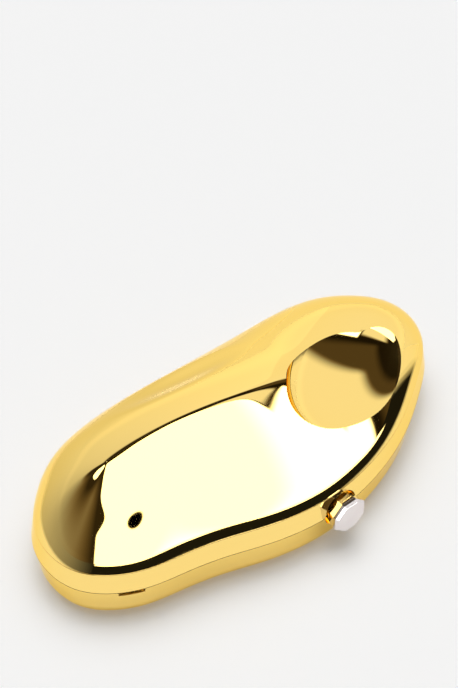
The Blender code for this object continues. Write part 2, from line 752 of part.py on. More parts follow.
def hinge_pin():
    # a plain pin with an upset head at each end
    first, last = -GAP, 2 * HINGE_HALF + GAP
    dome = PIN_HEAD * HEAD_EASE_SHARE
    profile = [(first - PIN_HEAD_LENGTH, dome), (first - PIN_HEAD_LENGTH / 2, PIN_HEAD), (first, PIN_HEAD),
               (first, PIN_RADIUS), (last, PIN_RADIUS), (last, PIN_HEAD),
               (last + PIN_HEAD_LENGTH / 2, PIN_HEAD), (last + PIN_HEAD_LENGTH, dome)]
    return new_object("hinge_pin", turned_mesh("hinge_pin", profile, (-HINGE_HALF, AXIS_Y, 0), (1, 0, 0)),
                      DATUM, POLISHED_GOLD)


def headed_profile(head, head_height, shank, length):
    return [(-head_height - GAP, head * HEAD_EASE_SHARE), (-head_height / 2 - GAP, head), (-GAP, head),
            (-GAP, shank), (length, shank)]


def fasteners(name, profile, centres, axis, parent, finish):
    for k, centre in enumerate(centres):
        part = "%s_%d" % (name, k + 1)
        new_object(part, turned_mesh(part, profile, centre, axis, SMALL_SIDES), parent, finish)


def hinge_rivets(name, side, parent):
    length = LEAF_THICKNESS + FRAME_THICKNESS
    profile = headed_profile(RIVET_HEAD, RIVET_HEAD_HEIGHT, RIVET_RADIUS, length)
    fasteners(name, profile, rivet_centres(side), (0, 1, 0), parent, POLISHED_GOLD)


# Button and clasp

def octagon_profile():
    # half widths across the flats, turned into corner radii
    corner = 1 / math.cos(math.pi / BUTTON_SIDES)
    face, girdle, back = BUTTON_FACE * corner, BUTTON_GIRDLE * corner, BUTTON_BACK * corner
    return [(-BUTTON_PROUD, face), (-BUTTON_PROUD + BUTTON_BEVEL, girdle),
            (-BUTTON_PROUD + 2 * BUTTON_BEVEL, girdle), (BUTTON_LENGTH - BUTTON_PROUD, back)]


def button_head():
    mesh = turned_mesh("button_head", octagon_profile(), SCOOP_CENTRE, (0, 1, 0), BUTTON_SIDES,
                       math.pi / BUTTON_SIDES)
    return new_object("button_head", mesh, BUTTON, ROSE_CHROME, smooth=False)


def button_stem():
    profile = [(STEM_START, STEM_RADIUS), (HOUSING_BACK + PLATE_THICKNESS, STEM_RADIUS)]
    return new_object("button_stem", turned_mesh("button_stem", profile, SCOOP_CENTRE, (0, 1, 0)), BUTTON,
                      SPRING_STEEL)


def stem_clip():
    # the disc that stops the stem against the front plate
    outer = turned_mesh("stem_clip", [(CLIP_START, CLIP_RADIUS), (CLIP_START + CLIP_THICKNESS, CLIP_RADIUS)],
                        SCOOP_CENTRE, (0, 1, 0))
    clip = new_object("stem_clip", outer, BUTTON, SPRING_STEEL)
    boolean(clip, STEM_HOLE)
    return clip


def screw_centres(height, thickness):
    # where the heads of the two screws bear on a plate behind the scoop floor
    return [(BUTTON_X + side * SCREW_SPREAD, WORKS_Y + GAP + thickness, height) for side in (-1, 1)]


def screw_holes(name, height, thickness):
    profile = [(-OVERRUN, SCREW_HOLE), (thickness + GAP + SCREW_DEEP + GAP, SCREW_HOLE)]
    return guide(name, turned_group(name, profile, screw_centres(height, thickness), (0, -1, 0)))


def screws(name, height, thickness, parent):
    profile = headed_profile(SCREW_HEAD, SCREW_HEAD_HEIGHT, SCREW_RADIUS, thickness + GAP + SCREW_DEEP)
    fasteners(name, profile, screw_centres(height, thickness), (0, -1, 0), parent, SPRING_STEEL)


def clasp_housing():
    # a bent bracket: front plate on the scoop floor, strip, back plate that carries the bush and the latch
    front, back = FRONT_Y + HOUSING_FRONT, FRONT_Y + HOUSING_BACK
    low, high = -HOUSING_LOW, HOUSING_HIGH
    profile = [(front, high), (front, low), (back + PLATE_THICKNESS, low), (back + PLATE_THICKNESS, high),
               (back, high), (back, low + PLATE_THICKNESS), (front + PLATE_THICKNESS, low + PLATE_THICKNESS),
               (front + PLATE_THICKNESS, high)]
    housing = new_object("clasp_housing", prism_mesh("clasp_housing", profile, BUTTON_X - HOUSING_HALF,
                                                     BUTTON_X + HOUSING_HALF), DATUM, SPRING_STEEL)
    bush_hole = guide("bush_hole", turned_mesh("bush_hole", [
        (HOUSING_BACK - GAP, BUSH_RADIUS + GAP), (LATCH_FRONT, BUSH_RADIUS + GAP)], SCOOP_CENTRE, (0, 1, 0)))
    for tool in (STEM_HOLE, bush_hole, HOUSING_HOLES, LATCH_HOLES):
        boolean(housing, tool)
    return housing


def stem_bush():
    flange_end = FLANGE_START + BUSH_FLANGE_THICKNESS
    profile = [(FLANGE_START, BUSH_FLANGE), (flange_end, BUSH_FLANGE), (flange_end, BUSH_RADIUS),
               (HOUSING_BACK + PLATE_THICKNESS, BUSH_RADIUS)]
    bush = new_object("stem_bush", turned_mesh("stem_bush", profile, SCOOP_CENTRE, (0, 1, 0)), DATUM,
                      TURNED_BRASS)
    boolean(bush, STEM_HOLE)
    return bush


def wire_curve(name, points, radius, parent, finish):
    # a round wire through the points, closed at both ends
    curve = bpy.data.curves.new(name, "CURVE")
    curve.dimensions = "3D"
    curve.bevel_depth = radius
    curve.bevel_resolution = 1
    curve.use_fill_caps = True
    spline = curve.splines.new("POLY")
    spline.points.add(len(points) - 1)
    for slot, point in zip(spline.points, points):
        slot.co = (*point, 1)
    return new_object(name, curve, parent, finish, smooth=False)


def button_spring():
    # a coil round the stem between the clip and the bush
    start = CLIP_START + CLIP_THICKNESS + GAP + SPRING_WIRE
    end = FLANGE_START - GAP - SPRING_WIRE
    steps = SPRING_TURNS * SPRING_POINTS
    points = []
    for k in range(steps + 1):
        turn = math.tau * k / SPRING_POINTS
        points.append((BUTTON_X + SPRING_RADIUS * math.cos(turn), FRONT_Y + start + (end - start) * k / steps,
                       SPRING_RADIUS * math.sin(turn)))
    return wire_curve("button_spring", points, SPRING_WIRE, DATUM, SPRING_STEEL)


def latch_rivet_centres():
    back = FRONT_Y + LATCH_FRONT + LATCH_THICKNESS
    return [(BUTTON_X + side * LATCH_RIVET_SPREAD, back, LATCH_RIVET_HEIGHT) for side in (-1, 1)]


def latch_rivet_holes():
    reach = LATCH_THICKNESS + GAP + PLATE_THICKNESS + GAP
    profile = [(-GAP, SCREW_HOLE), (reach, SCREW_HOLE)]
    mesh = turned_group("latch_rivet_holes", profile, latch_rivet_centres(), (0, -1, 0))
    return guide("latch_rivet_holes", mesh)


def latch_spring():
    # a thin leaf on the back of the housing whose bent top holds the lid's catch down
    front = FRONT_Y + LATCH_FRONT
    back = front + LATCH_THICKNESS
    profile = [(front, -LATCH_LOW), (back, -LATCH_LOW), (back, LATCH_HIGH), (front - LATCH_LIP, LATCH_HIGH),
               (front - LATCH_LIP, LATCH_HIGH - LATCH_THICKNESS), (front, LATCH_HIGH - LATCH_THICKNESS)]
    latch = new_object("latch_spring", prism_mesh("latch_spring", profile, BUTTON_X - LATCH_HALF,
                                                  BUTTON_X + LATCH_HALF), DATUM, SPRING_STEEL)
    boolean(latch, LATCH_HOLES)
    return latch


def latch_rivets():
    length = LATCH_THICKNESS + GAP + PLATE_THICKNESS
    profile = headed_profile(SCREW_HEAD, SCREW_HEAD_HEIGHT, SCREW_RADIUS, length)
    fasteners("latch_rivet", profile, latch_rivet_centres(), (0, -1, 0), DATUM, TURNED_BRASS)


def lid_catch():
    # a plate on the upper half of the scoop, with an arm over the latch and a ledge that hooks under it
    plate = WORKS_Y + GAP
    ledge_back = FRONT_Y + LATCH_FRONT - LATCH_LIP + LEDGE_OVERLAP
    leg_back = FRONT_Y + LATCH_FRONT - LATCH_LIP - GAP
    leg = leg_back - CATCH_THICKNESS
    ledge_high = LATCH_HIGH - LATCH_THICKNESS - GAP
    ledge_low = ledge_high - CATCH_THICKNESS
    profile = [(plate, CATCH_LOW), (plate, CATCH_HIGH), (leg_back, CATCH_HIGH), (leg_back, ledge_high),
               (ledge_back, ledge_high), (ledge_back, ledge_low), (leg, ledge_low),
               (leg, CATCH_HIGH - CATCH_THICKNESS), (plate + CATCH_THICKNESS, CATCH_HIGH - CATCH_THICKNESS),
               (plate + CATCH_THICKNESS, CATCH_LOW)]
    mesh = prism_mesh("lid_catch", profile, BUTTON_X - CATCH_HALF, BUTTON_X + CATCH_HALF)
    catch = new_object("lid_catch", mesh, LID, SPRING_STEEL)
    boolean(catch, CATCH_HOLES)
    return catch


# Lining

def base_lining():
    depth = -FLOOR_TOP + BASE_LINING
    flare = rim_flare(0)
    outer = corner_rings(PLAIN, -BASE_LINING_LOW, depth, BASE_LINING_CORNER + BASE_LINING,
                         BASE_LINING_INSET + flare)
    inner = corner_rings(PLAIN, -BASE_LINING_LOW, depth - BASE_LINING, BASE_LINING_CORNER,
                         BASE_LINING_INSET + flare + BASE_LINING, low_first=False)
    lining = new_object("base_lining", loft("base_lining", outer + inner), DATUM, LINING_SATIN)
    boolean(lining, guide("cover_clear", box_mesh(
        "cover_clear", (BUTTON_X - COVER_HALF - GAP, FRONT_Y, FLOOR_TOP + GAP / 2),
        (BUTTON_X + COVER_HALF + GAP, FRONT_Y + COVER_BACK + GAP, OVERRUN))))
    return lining


def clasp_cover():
    # a bent partition that keeps what is carried away from the clasp works
    low = FLOOR_TOP + GAP
    front, back = FRONT_Y + COVER_FRONT, FRONT_Y + COVER_BACK
    left, right = BUTTON_X - COVER_HALF, BUTTON_X + COVER_HALF
    cover = new_object("clasp_cover", box_mesh("clasp_cover", (left, front, low), (right, back, COVER_HIGH)),
                       DATUM, LINING_SATIN)
    boolean(cover, guide("cover_hollow", box_mesh(
        "cover_hollow", (left + COVER_THICKNESS, front - OVERRUN, low - OVERRUN),
        (right - COVER_THICKNESS, back - COVER_THICKNESS, COVER_HIGH + OVERRUN))))
    return cover


def floor_board():
    low = -(LOWER_DEPTH - WALL - GAP)
    rings = [ring(PLAIN, -BOARD_INSET, low), ring(PLAIN, -BOARD_INSET, low + BOARD_THICKNESS)]
    return new_object("floor_board", loft("floor_board", rings), DATUM, GREY_BOARD)


def lid_lining():
    outside = WALL + GAP
    inside = outside + LID_LINING
    body = upper_body("lid_lining", PLAIN_LOOP_STEPS, PLAIN_RISE_STEPS, outside, LID_LINING_LOW)
    lining = new_object("lid_lining", body, LID, LINING_SATIN)
    hollow = guide("lining_hollow", upper_body("lining_hollow", PLAIN_LOOP_STEPS, PLAIN_RISE_STEPS, inside,
                                               LID_LINING_LOW - OVERRUN))
    boolean(hollow, guide("bowl_inside", egg_mesh("bowl_inside", inside)))
    half = SCOOP_MOUTH + SCOOP_WALL + FRAME_CLEAR
    clear = guide("lining_clear", box_mesh("lining_clear", (BUTTON_X - half, FRONT_Y - OVERRUN, 0),
                                           (BUTTON_X + half, FRONT_Y + LATCH_FRONT, LID_LINING_CLEAR)))
    for tool in (guide("bowl_outside", egg_mesh("bowl_outside", outside)), hollow, clear):
        boolean(lining, tool)
    return lining


def strap_lug():
    # a staple of wire behind the slot, its two legs against the wall
    place, out, along = slot_frame()
    height = -(SLOT_HEIGHT + RIM) / 2
    wall = WALL + GAP + RIM_FLARE - rim_flare(height) + LUG_SETBACK
    half = LUG_SPREAD / 2
    points = [(-half, -wall)]
    for side in (-1, 1):
        bend = []
        for k in range(LUG_BEND_POINTS + 1):
            turn = math.pi / 2 * k / LUG_BEND_POINTS
            bend.append((side * (half - LUG_BEND * (1 - math.cos(turn))),
                         -wall - LUG_LEG + LUG_BEND * (1 - math.sin(turn))))
        points.extend(bend if side < 0 else bend[::-1])
    points.append((half, -wall))
    route = [place + along * side + out * depth + Vector((0, 0, height)) for side, depth in points]
    return wire_curve("strap_lug", route, LUG_RADIUS, DATUM, SATIN_GOLD)


HOUSING_HOLES = screw_holes("housing_screw_holes", HOUSING_SCREW_HEIGHT, PLATE_THICKNESS)
CATCH_HOLES = screw_holes("catch_screw_holes", CATCH_SCREW_HEIGHT, CATCH_THICKNESS)
LATCH_HOLES = latch_rivet_holes()

lower_shell()
upper_shell()
base_frame()
lid_frame()
hinge_leaf("hinge_leaf_lower", -1, DATUM)
hinge_leaf("hinge_leaf_upper", 1, LID)
hinge_pin()
hinge_rivets("hinge_rivet_lower", -1, DATUM)
hinge_rivets("hinge_rivet_upper", 1, LID)
button_head()
button_stem()
stem_clip()
clasp_housing()
stem_bush()
button_spring()
latch_spring()
latch_rivets()
screws("clasp_screw", HOUSING_SCREW_HEIGHT, PLATE_THICKNESS, DATUM)
lid_catch()
screws("catch_screw", CATCH_SCREW_HEIGHT, CATCH_THICKNESS, LID)
base_lining()
clasp_cover()
floor_board()
lid_lining()
strap_lug()
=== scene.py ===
import json
import math

import bmesh
import bpy
import numpy as np
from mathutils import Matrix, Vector, kdtree


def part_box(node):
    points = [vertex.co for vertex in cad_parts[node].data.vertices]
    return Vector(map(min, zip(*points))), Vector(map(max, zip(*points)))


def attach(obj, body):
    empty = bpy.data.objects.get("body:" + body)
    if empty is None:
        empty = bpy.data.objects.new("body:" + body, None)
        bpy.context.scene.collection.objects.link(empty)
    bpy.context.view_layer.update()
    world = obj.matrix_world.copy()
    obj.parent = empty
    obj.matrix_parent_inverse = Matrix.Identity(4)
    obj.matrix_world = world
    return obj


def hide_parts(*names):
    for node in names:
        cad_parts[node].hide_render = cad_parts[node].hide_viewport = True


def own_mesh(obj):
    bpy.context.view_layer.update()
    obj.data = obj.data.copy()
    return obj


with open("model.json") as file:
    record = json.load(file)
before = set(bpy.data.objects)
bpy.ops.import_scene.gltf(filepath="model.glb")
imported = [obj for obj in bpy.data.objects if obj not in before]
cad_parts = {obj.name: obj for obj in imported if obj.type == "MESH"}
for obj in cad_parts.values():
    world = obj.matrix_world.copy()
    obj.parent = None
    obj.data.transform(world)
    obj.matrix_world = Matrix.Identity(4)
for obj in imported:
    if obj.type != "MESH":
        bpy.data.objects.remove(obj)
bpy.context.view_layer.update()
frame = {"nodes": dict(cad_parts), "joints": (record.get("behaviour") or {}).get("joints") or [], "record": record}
scene = bpy.context.scene
print("frame loaded:", len(frame["nodes"]), "nodes")

# Form of the case, in metres, with heights from the seam between the two shells
caseForm = {
    "halves": (0.100, 0.0465),
    "outlineShares": (
        (-0.988, 0.054), (-0.958, -0.247), (-0.865, -0.469), (-0.730, -0.615), (-0.575, -0.688),
        (-0.410, -0.778), (-0.245, -0.899), (-0.080, -0.981), (0.095, -1.002), (0.270, -0.951),
        (0.450, -0.837), (0.625, -0.656), (0.785, -0.430), (0.922, -0.181), (0.993, 0.135),
        (0.970, 0.447), (0.880, 0.688), (0.750, 0.875), (0.575, 0.972), (0.350, 0.989),
        (0.0, 0.989), (-0.350, 0.987), (-0.552, 0.949), (-0.726, 0.834), (-0.864, 0.606),
        (-0.956, 0.344)),
    "samples": 4000,
    "wall": 0.0012,
    "seamGap": 0.0003,
    "gap": 0.0003,
    "creaseHeight": 0.00975,
    "creaseRound": 0.00022,
    "innerDrop": 0.3,
    "rimFlare": 0.0015,
    "lowerDepth": 0.019,
    "lowerCorner": 0.0095,
}
crownForm = {
    "ridgeShares": ((-0.798, 0.023), (0.624, 0.018)),
    "ridgeBendShares": (0.058, -0.598),
    "rises": (0.030, 0.0398, 0.0172),
    "ridgeRound": 0.0012,
    "endEase": 0.19,
    "frontSlope": 0.76,
    "backSlope": 0.385,
    "tipSlope": 0.845,
    "leftFade": 0.276,
    "rightFade": 0.30,
    "edge": 0.076,
    "bellyPower": 2.7,
    "edgePower": 21,
    "frontTurn": 0.020,
    "dimpleShares": (-0.17, 0.516),
    "dimpleReach": (0.038, 0.014),
    "dimpleTurn": math.radians(-3),
    "dimpleDepth": 0.003,
}
bowlForm = {
    "centreShares": (0.389, -0.336),
    "height": 0.0208,
    "lean": (0.251, -0.406, 0.883),
    "reach": (0.0317, 0.0201),
    "turn": math.radians(14.7),
    "depth": 0.0045,
    "lift": 0.006,
    "steps": (256, 160),
    "rimBand": 0.0012,
    "nearShare": 0.002,
}
buttonForm = {
    "x": 0.0095,
    "mouth": 0.0086,
    "floor": 0.0070,
    "deep": 0.0045,
    "floorWall": 0.0020,
    "wall": 0.0016,
    "proud": 0.0059,
    "girdle": 0.0078,
    "face": 0.0069,
    "back": 0.0063,
    "length": 0.0080,
    "bevel": 0.0012,
    "facets": 8,
    "edgeRound": 0.00012,
    "edgeSteps": 3,
    "stemBore": 0.0019,
    "stemReach": 0.020,
}
hingeForm = {"half": 0.032, "notch": 0.0024, "knuckle": 0.0019, "headLength": 0.0007, "frame": 0.001}
slotForm = {"shares": (-0.80, -0.55), "length": 0.0105, "height": 0.0023}
meshDetail = {
    "aroundHalf": 240,
    "crownRings": 110,
    "ringPower": 1.5,
    "innerHalf": 60,
    "innerRings": 16,
    "innerCorner": (6, 2),
    "bandRows": 12,
    "cornerSteps": 18,
    "scoopSides": 128,
    "stemSides": 32,
    "hiddenEgg": (64, 40),
    "sharpAngle": 26,
    "overrun": 0.0015,
}
halves = np.array(caseForm["halves"])
rimHalfGap = caseForm["seamGap"] / 2
wall, gap, flare, creaseHeight = (caseForm[key] for key in ("wall", "gap", "rimFlare", "creaseHeight"))
overrun = meshDetail["overrun"]
buttonX = buttonForm["x"]
joints = {joint["name"]: joint for joint in frame["joints"]}


def closedCurve(points, samples):
    after = np.linalg.norm(np.roll(points, -1, 0) - points, axis=1)
    before = np.roll(after, 1)
    count = len(points)
    system = np.zeros((count, count))
    for i in range(count):
        system[i, i - 1] += before[i]
        system[i, i] += 2 * (before[i] + after[i])
        system[i, (i + 1) % count] += after[i]
    slope = (np.roll(points, -1, 0) - points) / after[:, None]
    bend = np.linalg.solve(system, 6 * (slope - np.roll(slope, 1, 0)))
    knots = np.concatenate(([0], np.cumsum(after)))
    t = np.linspace(0, knots[-1], samples, endpoint=False)
    i = np.clip(np.searchsorted(knots, t, side="right") - 1, 0, count - 1)
    j = (i + 1) % count
    done = (t - knots[i])[:, None]
    left = (knots[i + 1] - t)[:, None]
    span = after[i][:, None]
    curve = (bend[i] * left ** 3 + bend[j] * done ** 3) / (6 * span)
    curve += (points[i] / span - bend[i] * span / 6) * left
    return curve + (points[j] / span - bend[j] * span / 6) * done


ridgeLeft, ridgeRight = np.array(crownForm["ridgeShares"]) * halves


def alongRidge(points):
    ease = crownForm["endEase"]
    t = (points[:, 0] - ridgeLeft[0]) / (ridgeRight[0] - ridgeLeft[0])
    t = ease * np.log1p(np.exp(t / ease))
    return 1 - ease * np.log1p(np.exp((1 - t) / ease))


def creaseLoop(halfCount):
    # x, y and outward direction of points on the crease, from the left tip along the front
    fine = closedCurve(np.array(caseForm["outlineShares"]) * halves, caseForm["samples"])
    tangent = np.roll(fine, -1, 0) - np.roll(fine, 1, 0)
    tangent /= np.linalg.norm(tangent, axis=1)[:, None]
    rows = np.column_stack((fine, tangent[:, 1], -tangent[:, 0]))
    t = alongRidge(fine)
    left, right = t.argmin(), t.argmax()
    front = [(left + k) % len(rows) for k in range((right - left) % len(rows) + 1)]
    back = [(left - k) % len(rows) for k in range((left - right) % len(rows) + 1)]
    sides = []
    for way in (front, back):
        step = np.linalg.norm(np.diff(fine[way], axis=0), axis=1)
        run = np.concatenate(([0], np.cumsum(step)))
        sides.append((np.maximum.accumulate(t[way]), rows[way], run / run[-1]))
    grid = np.linspace(t[left], t[right], caseForm["samples"])
    mean = sum(np.interp(grid, side[0], side[2]) for side in sides) / 2
    places = np.interp(np.linspace(0, 1, halfCount + 1), mean, grid)
    frontRows, backRows = [
        np.column_stack([np.interp(places, side[0], side[1][:, c]) for c in range(4)]) for side in sides]
    return np.concatenate((frontRows, backRows[-2:0:-1]))


def ridgeLine(place):
    # the ridge in plan, even along X and swinging across Y
    bends = np.array(crownForm["ridgeBendShares"]) * halves[1]
    rest = 1 - place
    ends = rest ** 3 * ridgeLeft[1] + place ** 3 * ridgeRight[1]
    swing = 3 * rest * place * (rest * bends[0] + place * bends[1])
    return np.column_stack((ridgeLeft[0] + place * (ridgeRight[0] - ridgeLeft[0]), ends + swing))


def smoothStep(value):
    value = np.clip(value, 0, 1)
    return value * value * (3 - 2 * value)


def crownRise(x, y, share, place, front, run):
    form = crownForm
    fade = form["tipSlope"] + (1 - form["tipSlope"]) * smoothStep(place / form["leftFade"])
    fade = fade * smoothStep((1 - place) / form["rightFade"])
    slope = (form["backSlope"] + (form["frontSlope"] - form["backSlope"]) * front) * fade
    ease = form["ridgeRound"] / run
    eased = (np.sqrt(share ** 2 + ease ** 2) - ease) / (np.sqrt(1 + ease ** 2) - ease)
    belly = (1 - slope - form["edge"]) * eased ** form["bellyPower"]
    fall = slope * eased + belly + form["edge"] * eased ** form["edgePower"]
    riseLeft, riseMiddle, riseRight = form["rises"]
    first = 4 * riseMiddle - 3 * riseLeft - riseRight
    second = 2 * riseLeft + 2 * riseRight - 4 * riseMiddle
    rise = riseLeft + first * place + second * place ** 2
    centre = np.array(form["dimpleShares"]) * halves
    cos, sin = math.cos(form["dimpleTurn"]), math.sin(form["dimpleTurn"])
    longShare = (cos * (x - centre[0]) + sin * (y - centre[1])) / form["dimpleReach"][0]
    shortShare = (cos * (y - centre[1]) - sin * (x - centre[0])) / form["dimpleReach"][1]
    reach = np.hypot(longShare, shortShare)
    dimple = form["dimpleDepth"] * np.where(reach < 1, (1 - reach ** 2) ** 2, 0)
    return rise * (1 - fall) - dimple


def crownGrid(loop, rings):
    # rings of points from the crease up to the ridge
    flatLoop = loop[:, :2]
    place = alongRidge(flatLoop)
    foot = ridgeLine(place)
    run = np.linalg.norm(flatLoop - foot, axis=1)
    front = smoothStep((foot[:, 1] - flatLoop[:, 1]) / crownForm["frontTurn"] + 1 / 2)
    grid = []
    for k in range(rings + 1):
        share = 1 - (k / rings) ** meshDetail["ringPower"]
        flat = foot + share * (flatLoop - foot)
        rise = crownRise(flat[:, 0], flat[:, 1], share, place, front, run)
        grid.append(np.column_stack((flat, creaseHeight + rise)))
    return np.array(grid)


def insetGrid(loop, rings, inset):
    # the crown moved inwards, square to itself
    grid = crownGrid(loop, rings)
    around = np.roll(grid, -1, 1) - np.roll(grid, 1, 1)
    square = np.cross(around, np.gradient(grid, axis=0))
    square[:-1] /= np.linalg.norm(square[:-1], axis=2)[:, :, None]
    square[-1] = (0, 0, 1)
    grid = grid - inset * square
    grid[0] = ring(loop, -inset, creaseHeight - caseForm["innerDrop"] * inset)
    return grid


def ring(loop, offset, height):
    flat = loop[:, :2] + offset * loop[:, 2:]
    return np.column_stack((flat, np.full(len(loop), height)))


def rimFlare(height):
    return flare * (1 - abs(height) / creaseHeight)


fineLoop = creaseLoop(meshDetail["aroundHalf"])
innerLoop = creaseLoop(meshDetail["innerHalf"])
backY = max(y for x, y in fineLoop[:, :2] if abs(x) < hingeForm["half"])
axisY = backY + flare + gap
frontHalf = fineLoop[:meshDetail["aroundHalf"] + 1]
frontY = float(np.interp(buttonX, frontHalf[:, 0], frontHalf[:, 1])) - flare
datum = Vector(joints["lid_hinge"]["pos_m"]) - Vector((0, axisY, 0))
print("form worked out, datum at", tuple(round(v, 5) for v in datum))

# Finishes
goldLook = {
    "colour": (0.98, 0.71, 0.225, 1),
    "roughness": (0.02, 0.05),
    "scratchSize": 900,
    "edgeTint": (1.0, 0.86, 0.50, 1),
    "wallColour": (0.90, 0.66, 0.28, 1),
    "wallRoughness": 0.32,
}


def shaderOf(finish):
    return finish.node_tree.nodes["Principled BSDF"]


def newFinish(name, colour, metallic, roughness, **more):
    finish = bpy.data.materials.new(name)
    finish.use_nodes = True
    more.update({"Base Color": colour, "Metallic": metallic, "Roughness": roughness})
    for socket, value in more.items():
        shaderOf(finish).inputs[socket].default_value = value
    return finish


def addNode(finish, kind, **settings):
    node = finish.node_tree.nodes.new("ShaderNode" + kind)
    for key, value in settings.items():
        if key in node.inputs:
            node.inputs[key].default_value = value
        else:
            setattr(node, key, value)
    return node


def join(finish, source, target):
    finish.node_tree.links.new(source, target)


def fed(owner, node, values, first=0):
    # sockets set in order from numbers or other nodes
    for value, socket in zip(values, node.inputs[first:]):
        if isinstance(value, (int, float)):
            socket.default_value = value
        else:
            join(owner, value, socket)
    return node.outputs[0]


def mathNode(owner, operation, *values):
    return fed(owner, addNode(owner, "Math", operation=operation), values)


def dullTo(finish, source, look):
    # spreads the roughness between its two ends
    dull = fed(finish, addNode(finish, "MapRange"), (source, 0, 1, *look["roughness"]))
    join(finish, dull, shaderOf(finish).inputs["Roughness"])


def noiseNode(finish, place, size, detail):
    noise = addNode(finish, "TexNoise", Scale=size, Detail=detail)
    join(finish, place, noise.inputs["Vector"])
    return noise.outputs["Fac"]


def polishedGold():
    # mirror-polished plate: fine polishing marks in the roughness
    finish = newFinish("shellGold", goldLook["colour"], 1.0, goldLook["roughness"][0],
                       **{"Specular Tint": goldLook["edgeTint"]})
    place = addNode(finish, "TexCoord").outputs["Object"]
    marks = noiseNode(finish, place, goldLook["scratchSize"], 4)
    dullTo(finish, marks, goldLook)
    return finish


shellFinishes = [polishedGold(),
                 newFinish("wallGold", goldLook["wallColour"], 1.0, goldLook["wallRoughness"])]


# Mesh helpers
def addObject(name, data):
    thing = bpy.data.objects.new(name, data)
    scene.collection.objects.link(thing)
    return thing


def dressed(mesh, finishes, faceFinish):
    for finish in finishes:
        mesh.materials.append(finish)
    mesh.polygons.foreach_set("material_index", [faceFinish] * len(mesh.polygons))
    mesh.update()
    piece = addObject(mesh.name, mesh)
    piece.location = datum
    return piece


def coat(mesh, finish):
    mesh.materials.clear()
    mesh.materials.append(finish)


def meshFrom(name, verts, faces, finishes, faceFinish=0):
    mesh = bpy.data.meshes.new(name)
    mesh.from_pydata([tuple(v) for v in np.asarray(verts, float)], [], faces)
    return dressed(mesh, finishes, faceFinish)


def loft(name, rings, ridge=None, finishes=shellFinishes, faceFinish=0):
    count = len(rings[0])
    verts = [np.concatenate(rings)]
    faces = [tuple(reversed(range(count)))]
    for k in range(len(rings) - 1):
        for i in range(count):
            j = (i + 1) % count
            faces.append((k * count + i, k * count + j, (k + 1) * count + j, (k + 1) * count + i))
    base = (len(rings) - 1) * count
    if ridge is None:
        faces.append(tuple(range(base, base + count)))
    else:
        start = base + count
        verts.append(ridge[:count // 2 + 1])
        for i in range(count):
            j = (i + 1) % count
            mates = [start + (k if k <= count // 2 else count - k) for k in (j, i)]
            faces.append((base + i, base + j, *mates))
    return meshFrom(name, np.concatenate(verts), faces, finishes, faceFinish)


def turned(name, profile, centre, sides, finishes=shellFinishes, faceFinish=0, twist=0.0, axis=1):
    # a closed turned body about Y or X: profile rows are (distance along the axis, radius)
    turns = math.tau * np.arange(sides) / sides + twist
    rings = []
    for along, radius in profile:
        sine, cosine, reach = radius * np.sin(turns), radius * np.cos(turns), np.full(sides, along)
        rings.append(np.column_stack((sine, reach, cosine) if axis else (reach, cosine, sine)) + centre)
    return faceOut(loft(name, rings, None, finishes, faceFinish))


def faceOut(piece):
    shape = bmesh.new()
    shape.from_mesh(piece.data)
    shape.normal_update()
    bmesh.ops.recalc_face_normals(shape, faces=shape.faces)
    shape.to_mesh(piece.data)
    shape.free()
    return piece


boxFaces = [(0, 2, 3, 1), (4, 5, 7, 6), (0, 1, 5, 4), (2, 6, 7, 3), (0, 4, 6, 2), (1, 3, 7, 5)]


def boxPiece(name, low, high, faceFinish=1):
    low, high = np.array(low), np.array(high)
    corners = [low + (high - low) * [i & 1, i >> 1 & 1, i >> 2] for i in range(8)]
    return meshFrom(name, corners, boxFaces, shellFinishes, faceFinish)


def buttonBox(name, half, start, end, low, high):
    # a box centred on the button, between two distances behind the front
    return boxPiece(name, (buttonX - half, frontY + start, low), (buttonX + half, frontY + end, high), 0)


def withTools(piece, tools, way="DIFFERENCE"):
    # cuts the tools out of the piece, or joins them to it, and drops them
    for tool in tools:
        change = piece.modifiers.new(tool.name, "BOOLEAN")
        change.operation = way
        change.solver = "EXACT"
        change.object = tool
    bpy.context.view_layer.update()
    shape = bpy.data.meshes.new_from_object(piece.evaluated_get(bpy.context.evaluated_depsgraph_get()))
    piece.modifiers.clear()
    used = [piece.data] + [tool.data for tool in tools]
    piece.data = shape
    for tool in tools:
        bpy.data.objects.remove(tool)
    for mesh in used:
        bpy.data.meshes.remove(mesh)


def smoothBy(piece, degrees):
    piece.data.shade_smooth()
    piece.data.set_sharp_from_angle(angle=math.radians(degrees))
    return piece


def softEdges(piece, width, segments):
    soft = piece.modifiers.new("softEdges", "BEVEL")
    soft.width = width
    soft.segments = segments
    soft.limit_method = "ANGLE"
    soft.harden_normals = True
    piece.data.shade_smooth()
    return soft


def stand(piece, node, body):
    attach(piece, body)
    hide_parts(node)


# Bowl: the lower end of a tilted egg
def bowlAxes():
    lean = Vector(bowlForm["lean"]).normalized()
    longWay = Vector((math.cos(bowlForm["turn"]), math.sin(bowlForm["turn"]), 0))
    longWay = (longWay - lean * longWay.dot(lean)).normalized()
    flat = np.array(bowlForm["centreShares"]) * halves
    middle = Vector((*flat, creaseHeight + bowlForm["height"])) + lean * bowlForm["lift"]
    return middle, longWay, lean.cross(longWay), lean


def bowlRadii(grow):
    height = bowlForm["lift"] + bowlForm["depth"]
    widen = 1 / math.sqrt(1 - (bowlForm["lift"] / height) ** 2)
    return bowlForm["reach"][0] * widen + grow, bowlForm["reach"][1] * widen + grow, height + grow


